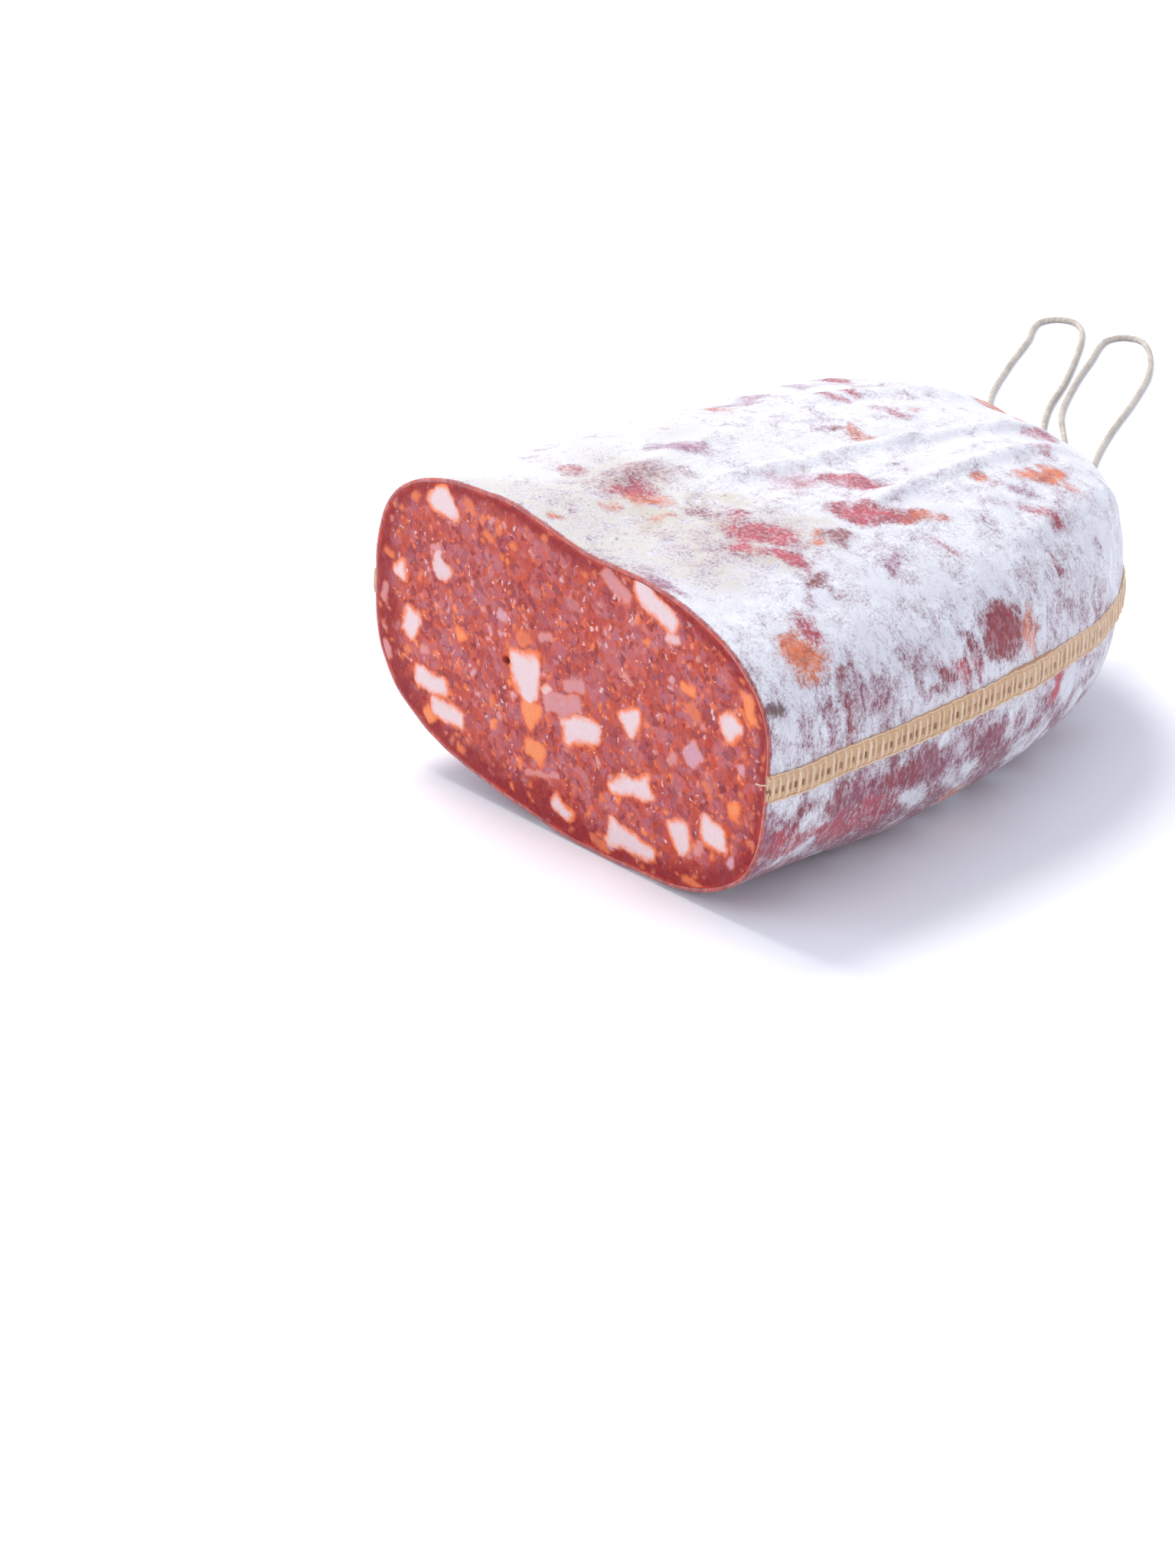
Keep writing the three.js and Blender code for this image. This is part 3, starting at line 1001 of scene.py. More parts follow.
R, O, B, N, L, D = (
    Through.RED, Through.ORANGE, Through.BURGUNDY, Through.BROWN, Through.LILAC, Through.DUSK
)
PATCHES = tuple(Patch(*row) for row in (
    (61, 28.5, 8.2, 3.2, 35, R, 1.15), (70, 34.5, 5.5, 2.2, 30, O, 0.85),
    (68.5, 15, 7, 2.8, 60, R, 0.95), (59, 7, 6.5, 4.5, 20, R, 0.5),
    (111, 34.5, 6.5, 2.6, 11, O, 1.15), (115.5, 38, 5, 1.6, 100, O, 0.6),
    (95, 32, 2.2, 1.5, 50, O, 0.85), (99.5, 37, 4, 1.8, 26, L, 0.7),
    (131, 16, 5.5, 2.6, 0, R, 0.75), (120.5, 24.5, 4.5, 3.4, 12, R, 0.45),
    (73, 65.5, 6, 4.6, 40, B, 1.4), (82, 69, 5, 1.8, 90, O, 0.8),
    (61.5, 65.5, 3.4, 1.4, 60, B, 0.85), (52.5, 68.5, 3.4, 1.8, 60, B, 0.8),
    (58.5, 71.5, 4, 1.8, 66, R, 0.75), (64.5, 72.5, 3.4, 1.6, 85, R, 0.65),
    (16.5, 55, 5.4, 3.8, 64, O, 1.2), (22.5, 50.5, 4.6, 2.2, 80, R, 0.85),
    (68.5, 45, 3, 1.7, 60, R, 0.65), (52.5, 45, 2.6, 1.3, 53, L, 0.55),
    (48, 32.5, 3.2, 2.5, 70, N, 0.85), (44.5, 29.5, 1.8, 1.3, 0, O, 0.7),
    (33, 32, 4.6, 2.2, 60, R, 1.0), (27, 23, 4, 2.8, 52, R, 0.95),
    (35, 20.5, 7.4, 3.8, 48, R, 0.85), (33.5, 40.5, 3, 2, 54, N, 0.6),
    (35.5, 46, 1.8, 1.3, 90, N, 0.5), (28.5, 43, 2, 1.5, 90, B, 0.55),
    (112.5, -5, 2.6, 2.2, 64, O, 0.7), (105, -7, 4.6, 2.6, 61, R, 0.4),
    (89, -3.5, 3.6, 2.2, 80, O, 0.55), (85.5, -9, 4.6, 1.3, 35, N, 0.5),
    (105, -21, 2.8, 2.2, 80, R, 0.75), (97.5, -21, 3.6, 2.2, 71, R, 0.65),
    (113.5, -33.5, 5, 3.5, 99, R, 0.7), (104, -36, 4, 3.5, 11, L, 0.6),
    (82, 16, 3, 1.8, 62, N, 0.4), (99.5, 45.5, 3.4, 1.8, 42, R, 0.6), (96, 57, 2, 1.3, 90, B, 0.75),
    (112.5, 54, 2, 1.5, 8, B, 0.65), (114.5, 68, 2.2, 3, 60, L, 0.5),
    (27, -11, 4.6, 2.3, 26, R, 0.95), (27, -6, 4.2, 2.6, 34, O, 0.95), (25, 0.5, 2, 1.6, 0, O, 0.6),
    (32, -15.5, 10, 5, 36, N, 0.5), (18, -8, 2.2, 2, 90, O, 0.5),
    (23.5, -28.5, 3.4, 2.5, 90, R, 0.5), (49.5, -18, 5.6, 3, 52, L, 0.95),
    (74, -33.5, 4.2, 2.5, 70, O, 0.5), (84.5, -33.5, 6, 3.5, 12, L, 0.5),
    (37, 11, 2.6, 2, 43, R, 0.5), (32, 3.5, 4.2, 2.6, 90, N, 0.4), (2, 24.5, 6, 2.4, 90, L, 0.9),
    (2, -11.5, 2.2, 1.6, 90, O, 0.8), (93, 82.5, 5, 2.2, 105, R, 1.1),
    (20, 87.5, 8.6, 2.2, 0, B, 0.34), (40, 89.5, 5.5, 2.2, 0, B, 0.36),
    (51, 88, 6, 2.2, 5, D, 0.32), (70, 90, 7, 2.4, -3, D, 0.3), (30, 97, 8.6, 3.0, -5, R, 0.42),
    (13, 95, 9, 3.0, 0, R, 0.45), (30, 67.5, 8, 3.6, 23, D, 0.35), (25, 71, 4.4, 2.2, 65, B, 0.45),
    (25, 62, 2.2, 2, 32, N, 0.5), (18, 71, 3.4, 1.7, 90, D, 0.45),
    (49.5, 72.5, 3.6, 1.3, 26, B, 0.6), (11, 69.5, 4.2, 1.8, 90, D, 0.45),
    (45, 65.5, 5, 3.2, 49, D, 0.35), (2, 62.5, 2, 1.2, 15, Through.OLIVE, 1.5),
    (90, 40, 3.4, 2, 40, L, 0.4),
))
AGED = tuple(Patch(*row) for row in (
    (23.5, 0, 11, 8, 35, N), (38.5, 3.5, 10, 6, 42, N), (28, 29, 9, 5, 42, N),
    (30, 14, 10, 7, 30, N), (44, 22, 8, 5, 45, N, 0.7), (14, -18, 7, 5, 40, N, 0.5),
))


@dataclass
class Casing:
    """The sewn pouch, open at the cut, with its mould."""

    shape: BodyShape
    finish: MouldedCasing
    wall: float = 0.8
    angles: int = 384
    rows: int = 206
    lining_rows: int = 14
    unseen_patches: int = 60
    bare: float = 1.25

    def coverage(self, share: Array, angle: Array, points: Array) -> tuple[Array, Array, Array]:
        """How thin the mould is over the skin, what shows there, and how aged it is.

        The mould thins from the top down, most below the seam, where noise breaks it up. On top near
        the cut it is thin and aged, in a zone with uneven borders. Each patch adds its strength
        inside its ellipse and fades out past the edge, and the colours that show are averaged with
        those strengths as weights. Noise shakes the ellipses' edges.

        Args:
            share: Shares of the length, one for each row.
            angle: Section angles, one for each column.
            points: Places of the skin.

        Returns:
            The thinness, the colours and the age, one for each row and column.
        """
        along, around = self.shape.map_of(share, angle)
        shaken = []
        for lengths, seed in ((along, 21), (around, 23)):
            broad, narrow = lattice_noise(points, 5.0, seed), lattice_noise(points, 2.2, seed + 1)
            shaken.append(lengths + 2.4 * broad + 1.5 * narrow)
        side = np.abs(around)
        thin = 0.02 + 0.24 * ease((side - 44) / 26) + 0.22 * ease((side - 82) / 8)
        under = ease((side - 81) / 6)
        behind = along + 16 * lattice_noise(points, 17.0, 28)
        aside = side + 14 * lattice_noise(points, 15.0, 29)
        thin = thin + 0.16 * ease((56 - behind) / 26) * ease((40 - aside) / 18)
        broken = 0.5 * lattice_noise(points, 7.5, 26) + 0.5 * lattice_noise(points, 3.2, 27)
        thin = thin + under * (0.06 + broken)
        thin = thin + 0.14 * lattice_noise(points, 21.0, 25)
        thin = thin + 0.1 * ease((70 - along) / 60) * ease((side - 50) / 15)
        weight = np.full(thin.shape, 0.35)
        tint = weight[..., None] * np.array(Through.DUSK.value)
        for patch in (*PATCHES, *self.unseen()):
            inside = patch.strength * ease((1.7 - patch.reach(*shaken)) / 1.4)
            thin = thin + 0.85 * inside
            weight = weight + 4 * inside
            tint = tint + 4 * inside[..., None] * np.array(patch.shows.value)
        aged = 0.7 * ease((66 - behind) / 32) * ease((46 - aside) / 20)
        for patch in AGED:
            aged = np.maximum(aged, patch.strength * ease((1.3 - patch.reach(*shaken)) / 0.9))
        return np.clip(thin, -0.3, self.bare), tint / weight[..., None], aged * 0.8

    def unseen(self) -> list[Patch]:
        """Patches scattered over the back, the left side and the underside."""
        draw = np.random.default_rng(8)
        kinds = (R, O, B, N, L, D)
        patches = []
        while len(patches) < self.unseen_patches:
            along, around = draw.uniform(4, 165), draw.uniform(-165, 165)
            seen = -42 < around < 104 and along < 135
            if not seen:
                long = draw.uniform(2, 7)
                patches.append(
                    Patch(along, around, long, long * draw.uniform(0.35, 0.7), draw.uniform(0, 180),
                          kinds[draw.integers(len(kinds))], draw.uniform(0.35, 1.1))
                )
        return patches

    def build(self, effects: Effects) -> bpy.types.Object:
        """Builds the skin, its lining and the cut rim as one closed mesh.

        Args:
            effects: The shared shader groups.

        Returns:
            The casing.
        """
        angle = self.shape.even_angles(self.angles)
        share = self.shape.even_shares(self.rows)[:-1]
        rows, columns = np.meshgrid(share, angle, indexing="ij")
        swell = self.shape.relief(share, angle)
        outer = self.shape.skin(rows, columns, 0.0, swell)
        lining_share = self.shape.even_shares(self.lining_rows)[:-1]
        lining_rows, lining_columns = np.meshgrid(lining_share, angle, indexing="ij")
        lining_swell = self.shape.relief(lining_share, angle)
        inner = self.shape.skin(lining_rows, lining_columns, self.wall, lining_swell)
        end = np.array([1.0])
        poles = [self.shape.skin(end, end * 0, depth)[0] for depth in (0.0, self.wall)]
        points = np.concatenate([outer.reshape(-1, 3), inner.reshape(-1, 3), np.array(poles)])

        count = self.angles
        first_inner = outer.shape[0] * count
        outer_pole, inner_pole = len(points) - 2, len(points) - 1
        ring = np.arange(count)
        rim = np.stack([first_inner + ring, ring, np.roll(ring, -1), first_inner + np.roll(ring, -1)], -1)
        faces = [
            grid_faces(outer.shape[0], count, True),
            fan_faces((outer.shape[0] - 1) * count + ring, outer_pole, True),
            grid_faces(inner.shape[0], count, True, first_inner)[:, ::-1],
            fan_faces(first_inner + (inner.shape[0] - 1) * count + ring, inner_pole, False),
            rim,
        ]
        piece = make_piece("casing_skin", points, faces)
        thin, tint, aged = self.coverage(share, angle, outer)
        flank = ease((np.abs(self.shape.map_of(share, angle)[1]) - 46) / 14)
        thin[0] = self.bare
        tint[0] = shade(196, 84, 62)
        spare = len(points) - first_inner
        add_measure(piece, "bare", np.append(thin.ravel(), np.full(spare, self.bare)))
        add_measure(piece, "aged", np.append(aged.ravel(), np.zeros(spare)))
        add_measure(piece, "flank", np.append(flank.ravel(), np.ones(spare)))
        lining = np.tile(shade(180, 56, 44), (spare, 1))
        add_tint(piece, "shows", np.concatenate([tint.reshape(-1, 4), lining]))
        return finish_piece(piece, "casing", self.finish.material(effects), "casing")


# ------------------------------------------------------------------------------------------------
# The cut meat


class Fat(Enum):
    """Colour of a piece of fat, how clearly it shows and how strongly paprika stains its edge."""

    WHITE = (*shade(222, 198, 198)[:3], 1.0, 1.0)
    BARE = (*shade(218, 192, 194)[:3], 0.95, 0.55)
    PINK = (*shade(206, 150, 154)[:3], 0.7, 0.35)
    LILAC = (*shade(202, 164, 180)[:3], 0.75, 0.3)
    AMBER = (*shade(234, 142, 88)[:3], 0.9, 0.9)
    CORAL = (*shade(214, 116, 80)[:3], 0.65, 0.6)
    FAINT = (*shade(184, 122, 132)[:3], 0.45, 0.15)


@dataclass(frozen=True)
class FatPiece:
    """A dice of fat on the cut: its middle across and above the surface, its sizes and its turn."""

    x: float
    z: float
    long: float
    wide: float
    turn: float
    kind: Fat = Fat.WHITE
    taper: float = 0.0

    def depth(self, x: Array, z: Array) -> Array:
        """Distance to the piece's outline, negative inside.

        The piece is a rounded box whose half width changes evenly from one end to the other.

        Args:
            x: Places across the cut.
            z: Places above the surface.

        Returns:
            Distances in millimetres.
        """
        cos, sin = math.cos(math.radians(self.turn)), math.sin(math.radians(self.turn))
        u = (x - self.x) * cos + (z - self.z) * sin
        v = (z - self.z) * cos - (x - self.x) * sin
        half_long, half_wide = self.long / 2, self.wide / 2
        round_ = 0.6 * half_wide
        side = half_wide * (1 - self.taper * np.clip(u / half_long, -1, 1))
        du, dv = np.abs(u) - (half_long - round_), np.abs(v) - np.maximum(side - round_, 0.05)
        return np.hypot(np.maximum(du, 0), np.maximum(dv, 0)) + np.minimum(np.maximum(du, dv), 0) - round_


W, P, A, C, F, K = Fat.WHITE, Fat.PINK, Fat.AMBER, Fat.CORAL, Fat.FAINT, Fat.LILAC
FAT = tuple(FatPiece(*row) for row in (
    (-39.5, 63.8, 6.2, 9.4, -98, W, -0.35), (-42.3, 52.5, 3.1, 1.7, 22, P),
    (-53.8, 44.1, 4.9, 3.4, 77, W, 0.45), (-40.9, 48.2, 6.6, 5.0, 44, Fat.BARE, -0.45),
    (-59.6, 36.8, 4.2, 2.4, 76, P), (-50.8, 33.1, 7.4, 5.6, 66, W, 0.1),
    (-59.2, 23.6, 4.2, 3.4, -57, P), (-34, 35.3, 3.8, 2.6, 20, A, 0.4),
    (-46.1, 28.1, 2.9, 2.1, 10, P), (-44.4, 21.2, 11.2, 4.9, 1, W, 0.15),
    (-38.6, 15.9, 11.0, 4.3, -6, W, 0.1), (-12.6, 32.4, 11.4, 9.6, 98, W, -0.35),
    (-11.3, 24.9, 6.6, 4.8, 84, A, -0.45), (-6.2, 43.2, 5.0, 2.2, 22, P),
    (-13.5, 40.6, 4.2, 2.4, 29, C), (-5.7, 31.4, 3.6, 2.1, 48, Fat.BARE),
    (2.5, 35.6, 7.4, 3.2, 12, P), (-0.8, 30.2, 13.0, 4.6, 15, P),
    (4.9, 26.2, 12.8, 6.2, 12, W, 0.1), (21.3, 34, 7.6, 5.4, 50, W, 0.5),
    (28.4, 61.3, 14.0, 5.6, -24, W, 0.1), (15.8, 61.6, 9.0, 3.2, -25, P),
    (33.2, 55.9, 3.8, 2.0, -10, Fat.BARE), (56.6, 48.6, 7.2, 2.8, -62, A),
    (50.8, 42.6, 6.2, 5.4, 47, W, 0.1), (39.2, 32.8, 6.4, 4.8, 51, K), (38.4, 46.4, 3.9, 2.3, 0, A),
    (39.9, 41.9, 4.4, 3.0, -40, C), (20.6, 19.2, 14.6, 4.6, 17, W, -0.35),
    (-1.4, 6.9, 6.4, 3.6, -21, W), (20.6, 6.6, 15.8, 5.0, -4, W, 0.35),
    (35.8, 13.4, 7.6, 5.6, -60, W, 0.1), (46.2, 17.1, 8.8, 6.6, -4, W, 0.1),
    (-9.8, 17.1, 6.4, 4.6, -15, A), (52.6, 24.4, 4.3, 2.6, 30, A), (11, 3.0, 6.4, 2.0, -4, C),
    (51.7, 12.8, 2.9, 2.0, 60, K), (54.6, 34.3, 3.0, 2.0, 80, K), (33.5, 29.5, 3.4, 1.8, 60, P),
    (41.5, 12.6, 3.0, 2.2, 80, P), (39.6, 4.0, 4.9, 1.8, -6, C), (-9.9, 52.5, 3.6, 1.9, 0, F),
    (2.5, 53.5, 5.1, 2.2, 8, F), (-19.9, 44, 3.5, 2.5, -20, K), (-44.6, 13.7, 4.0, 3.0, -50, A),
    (-7.8, 12.3, 11.8, 1.3, 10, P), (-31, 65, 4.2, 2.2, -20, C), (-24, 60.5, 3.2, 1.6, -30, C),
    (-55, 31, 2.4, 1.4, 80, F), (-29, 24.5, 2.2, 1.2, -70, F), (-24, 52, 2.6, 1.2, 35, F),
    (12, 47.5, 3.0, 1.4, -15, F), (24, 50.5, 3.0, 1.6, 12, F), (20, 42.5, 2.8, 1.4, -35, P),
    (13, 12.5, 3.4, 1.4, 24, F), (29, 24.5, 3.0, 1.4, 8, F), (6, 16.5, 3.2, 1.4, -12, F),
    (44, 26.5, 2.6, 1.4, -50, C),
))


@dataclass
class CutMeat:
    """The filling: the freshly cut face and the hidden body behind it."""

    shape: BodyShape
    finish: CuredMeat
    inset: float = 0.84
    angles: int = 480
    rings: int = 166
    crumbs: int = 560
    body_rows: int = 26
    pit: tuple[float, float, float] = (-19.3, 34.2, 1.1)

    def scattered(self) -> list[FatPiece]:
        """Crumbs of fat thrown over the whole cut."""
        draw = np.random.default_rng(17)
        kinds = (Fat.FAINT, Fat.CORAL, Fat.AMBER, Fat.PINK, Fat.CORAL, Fat.FAINT, Fat.LILAC)
        crumbs = []
        for _ in range(self.crumbs):
            long = 0.6 + 1.6 * draw.random() ** 3
            crumbs.append(
                FatPiece(draw.uniform(-62, 62), draw.uniform(2, 68), long, long * draw.uniform(0.45, 0.9),
                         draw.uniform(0, 180), kinds[draw.integers(len(kinds))])
            )
        return crumbs

    def fat_of(self, x: Array, z: Array) -> tuple[Array, Array, Array]:
        """The nearest fat at places of the cut.

        Args:
            x: Places across the cut.
            z: Places above the surface.

        Returns:
            The distance to the nearest piece, its colour and opacity, and its stain.
        """
        flat = np.stack([x, np.zeros_like(x), z], -1)
        x = x + 0.8 * lattice_noise(flat, 3.6, 31) + 0.2 * lattice_noise(flat, 1.3, 32)
        z = z + 0.7 * lattice_noise(flat, 3.6, 33) + 0.2 * lattice_noise(flat, 1.3, 34)
        nearest = np.full(x.shape, 9.0)
        tint = np.tile(np.array(Fat.FAINT.value[:4]), (*x.shape, 1))
        stain = np.zeros(x.shape)
        for piece in (*FAT, *self.scattered()):
            depth = piece.depth(x, z)
            closer = depth < nearest
            nearest = np.where(closer, depth, nearest)
            tint[closer] = piece.kind.value[:4]
            stain[closer] = piece.kind.value[4]
        return nearest, tint, stain

    def build(self, effects: Effects) -> bpy.types.Object:
        """Builds the filling.

        The cut is a grid of rings between its middle and its edge, closer together at the edge. The
        cut is nearly flat: fat stands a little proud, the meat is grainy, and one small pit is torn
        out beside the largest dice.

        Args:
            effects: The shared shader groups.

        Returns:
            The filling.
        """
        angle = self.shape.even_angles(self.angles)
        body_share = self.shape.even_shares(self.body_rows)[:-1]
        rows, columns = np.meshgrid(body_share, angle, indexing="ij")
        body = self.shape.skin(rows, columns, self.inset, self.shape.relief(body_share, angle))
        tail = self.shape.skin(np.array([1.0]), np.array([0.0]), self.inset)
        edge = body[0]
        middle = np.array([self.shape.place[0], self.shape.place[1], self.shape.height / 2])
        share = (np.arange(1, self.rings)[::-1] / self.rings) ** 0.86
        cut = middle + share[:, None, None] * (edge - middle)
        x, z = cut[..., 0] - self.shape.place[0], cut[..., 2]
        depth, tint, stain = self.fat_of(x, z)
        rim = (1 - share[:, None]) * np.linalg.norm(edge - middle, axis=-1) * 0.85
        reach = 3.2 + 4.2 * ease((0.35 - np.sin(angle + 0.35)) / 0.9)
        crust = rim / reach
        pit_x, pit_z, pit_size = self.pit
        torn = np.exp(-(((x - pit_x) / (0.9 * pit_size)) ** 2 + ((z - pit_z) / (0.7 * pit_size)) ** 2) ** 2)
        grain = lattice_noise(cut, 1.6, 41) + 0.6 * lattice_noise(cut, 0.8, 42)
        proud = 0.12 * ease(0.5 - depth) + 0.05 * grain + 0.25 * lattice_noise(cut, 14.0, 43)
        settle = ease(rim / 1.5)
        cut[..., 1] += -proud * settle + 1.2 * torn

        points = np.concatenate([body.reshape(-1, 3), tail, cut.reshape(-1, 3), middle[None]])
        count, ring = self.angles, np.arange(self.angles)
        pole = body.shape[0] * count
        first_cut = pole + 1
        join = np.stack([ring, np.roll(ring, -1), first_cut + np.roll(ring, -1), first_cut + ring], -1)
        faces = [
            grid_faces(body.shape[0], count, True),
            fan_faces((body.shape[0] - 1) * count + ring, pole, True),
            join,
            grid_faces(len(share), count, True, first_cut)[:, ::-1],
            fan_faces(first_cut + (len(share) - 1) * count + ring, len(points) - 1, False),
        ]
        piece = make_piece("meat_filling", points, faces)
        for name, behind, values, centre in (
            ("fat", 9.0, depth, 9.0), ("stain", 0.0, stain, 0.0), ("rim", 0.0, rim, 30.0),
            ("crust", 0.0, crust, 9.0), ("pit", 0.0, torn, 0.0),
        ):
            add_measure(piece, name, np.concatenate([np.full(first_cut, behind), values.ravel(), [centre]]))
        faint = np.array([Fat.FAINT.value[:4]])
        tints = [np.tile(faint, (first_cut, 1)), tint.reshape(-1, 4), faint]
        add_tint(piece, "fat_tint", np.concatenate(tints))
        return finish_piece(piece, "meat", self.finish.material(effects), "filling")


# ------------------------------------------------------------------------------------------------
# The seam


@dataclass
class SeamLine:
    """The line that the seam follows over the skin, with directions across it and off the skin."""

    shape: BodyShape
    samples: int = 1600

    def __post_init__(self) -> None:
        """Works out the line from the cut on +X, round the tail, to the cut on -X."""
        half = np.linspace(0, 1, self.samples // 2 + 1)
        share_half = 1 - (1 - half) ** 2
        share = np.concatenate([share_half, share_half[-2::-1]])
        second = np.arange(len(share)) > self.samples // 2
        angle = self.shape.seam_angle(share) + np.where(second, math.pi, 0.0)
        self.points = self.shape.skin(share, angle, 0.0, self.shape.relief_at(share, angle))
        held = np.minimum(share, 0.97)
        above = self.shape.skin(held, angle + 0.02)
        below = self.shape.skin(held, angle - 0.02)
        self.across = unit((above - below) * np.where(second, -1.0, 1.0)[:, None])
        tangent = unit(np.gradient(self.points, axis=0))
        self.off = unit(np.cross(tangent, self.across))
        self.run = lengths_along(self.points)

    @property
    def length(self) -> float:
        """Whole length of the seam in millimetres."""
        return float(self.run[-1])

    def at(self, run: Array, sideways: Array, lift: Array) -> Array:
        """Places beside the line.

        Args:
            run: Lengths along the seam.
            sideways: Distances across it, upwards.
            lift: Heights off the skin.

        Returns:
            Places in millimetres.
        """

        def pick(values: Array) -> Array:
            """Interpolates a set of vectors at the lengths."""
            return np.stack([np.interp(run, self.run, values[:, i]) for i in range(3)], -1)

        bent = sideways**2 * 0.006
        beside = pick(self.points) + sideways[..., None] * pick(self.across)
        return beside + (lift - bent)[..., None] * pick(self.off)


@dataclass
class Seam:
    """The band that covers the joint of the casing, and the stitches over it."""

    line: SeamLine
    cloth: SeamCloth
    thread: SpunFibre
    half_width: float = 3.2
    thickness: float = 0.6
    pitch: float = 1.9
    bar_half: float = 2.75
    bar_width: float = 0.42
    bar_height: float = 0.28
    slant: float = 0.1

    def wander(self, run: Array) -> Array:
        """Sideways drift of the seam, the same for the band and its stitches."""
        return 0.25 * lattice_noise(np.stack([run, 0 * run, 0 * run], -1), 11.0, 52)

    def build_band(self, effects: Effects) -> bpy.types.Object:
        """Builds the woven band: a flat strip, thicker between stitches, with scalloped edges.

        Its section is a closed loop: a sunk underside and a crowned top that falls into the skin at
        both edges. Along the run the crown rises and falls once for each stitch.

        Args:
            effects: The shared shader groups.

        Returns:
            The band.
        """
        steps = int(self.line.length / self.pitch) * 8
        run = np.linspace(0, self.line.length, steps + 1)
        top = np.linspace(-1, 1, 15)
        section = np.concatenate([top, top[-2:0:-3]])
        is_top = np.arange(len(section)) < len(top)
        along, across = np.meshgrid(run, section, indexing="ij")
        pull = np.abs(np.sin(along * math.pi / self.pitch))
        edge = self.half_width * (1 + 0.035 * (pull - 0.5))
        crown = self.thickness * (1 - np.abs(across) ** 6) * (0.75 + 0.25 * pull)
        wave = 0.08 * lattice_noise(np.stack([along, across * 3, 0 * along], -1), 2.4, 51)
        wander = self.wander(along)
        lift = np.where(is_top, 0.12 + crown + wave - 0.45 * np.abs(across) ** 10, -0.45)
        points = self.line.at(along, across * edge + wander, lift)
        count = len(section)
        ends = np.arange(count)
        last = steps * count + ends
        piece = make_piece(
            "seam_band", points, [grid_faces(steps + 1, count, True), ends[None, ::-1], last[None]]
        )
        add_run(piece, np.stack([along, across * self.half_width], -1))
        flip_if_inside_out(piece)
        material = self.cloth.material(effects, self.pitch, self.half_width)
        return finish_piece(piece, "tape", material, "seam_tape")

    def bars(self) -> tuple[Array, list[Faces], Array]:
        """The stitches: one slanted bar for each pitch, arched over the band.

        A bar is a tube of six sides in seven rings. Its middle line runs across the band, leans
        along it and rises as the fourth root of a parabola, so that its ends dive into the band.

        Returns:
            Points, faces and run map.
        """
        count = int(self.line.length / self.pitch)
        draw = np.random.default_rng(61)
        share = np.linspace(-1, 1, 7)
        side = np.arange(6) * math.tau / 6
        number, along, around = np.meshgrid(np.arange(count), share, side, indexing="ij")
        jitter = draw.normal(0, 0.05, count)[:, None, None]
        reach = self.bar_half * (1 + draw.normal(0, 0.03, count))[:, None, None]
        thick = (1 - 0.55 * np.abs(along) ** 4) * (1 + draw.normal(0, 0.06, count))[:, None, None]
        run = (number + 0.5) * self.pitch + jitter + self.slant * along
        run = run + np.cos(around) * self.bar_width * thick
        arch = (1 - along**2).clip(0.0) ** 0.25
        lift = 0.28 + (self.thickness - 0.1) * arch + np.sin(around) * self.bar_height * thick
        wander = self.wander(run)
        points = self.line.at(run, along * reach + wander, lift)
        tube = grid_faces(len(share), len(side), True)
        offsets = np.arange(count)[:, None, None] * len(share) * len(side)
        quads = (tube[None] + offsets).reshape(-1, 4)
        caps = np.stack([np.arange(6)[::-1], (len(share) - 1) * 6 + np.arange(6)])
        caps = (caps[None] + offsets).reshape(-1, 6)
        return points.reshape(-1, 3), [quads, caps], np.stack([along * reach, around * 0.4], -1)

    def build_stitches(self, effects: Effects) -> bpy.types.Object:
        """Builds the bars, the two edge threads and the frayed end at the cut as one piece.

        Args:
            effects: The shared shader groups.

        Returns:
            The stitches.
        """
        bars, bar_faces, bar_run = self.bars()
        strands = []
        for sideways, thick in ((-self.bar_half - 0.1, 0.26), (self.bar_half + 0.05, 0.18)):
            steps = int(self.line.length / self.pitch) * 6
            run = np.linspace(0.3, self.line.length - 0.3, steps)
            wave = np.sin(run * math.tau / self.pitch)
            shift = sideways + self.wander(run) + 0.12 * wave
            centre = self.line.at(run, shift, 0.42 + 0.1 * wave)
            strands.append(Strand(centre, thick, 7, ply=0.0))
        tubes, tube_faces, tube_run = join_strands([*strands, *self.frayed()], len(bars))
        points = np.concatenate([bars, tubes])
        piece = make_piece("seam_stitches", points, [*bar_faces, *tube_faces])
        add_run(piece, np.concatenate([bar_run.reshape(-1, 2), tube_run]))
        add_measure(piece, "groove", np.zeros(len(points)))
        flip_if_inside_out(piece)
        return finish_piece(piece, "thread", self.thread.material(effects), "seam_thread")

    def frayed(self) -> list["Strand"]:
        """Short loose fibres where the seam was cut through, on the +X side of the cut.

        Each leaves the band's end towards the cut face and curls by a quadratic bend.

        Returns:
            The fibres.
        """
        draw = np.random.default_rng(71)
        strands = []
        share = np.linspace(0, 1, 9)
        for _ in range(5):
            bend = draw.normal(0, 1.5, 3)
            reach = draw.uniform(1.0, 2.6)
            base = self.line.at(np.full(9, 0.2), np.full(9, draw.uniform(-1.2, 2.4)), np.full(9, 0.5))
            away = np.array([-draw.uniform(0.1, 0.5), -draw.uniform(0.2, 0.5), draw.normal(0.2, 0.5)])
            path = base + share[:, None] * reach * unit(away) + share[:, None] ** 2 * bend
            path[:, 1] = np.maximum(path[:, 1], self.line.shape.place[1] - 1.6)
            strands.append(Strand(path, draw.uniform(0.1, 0.18), 5, (0.3, 0.2, 0.9), ply=0.0))
        return strands


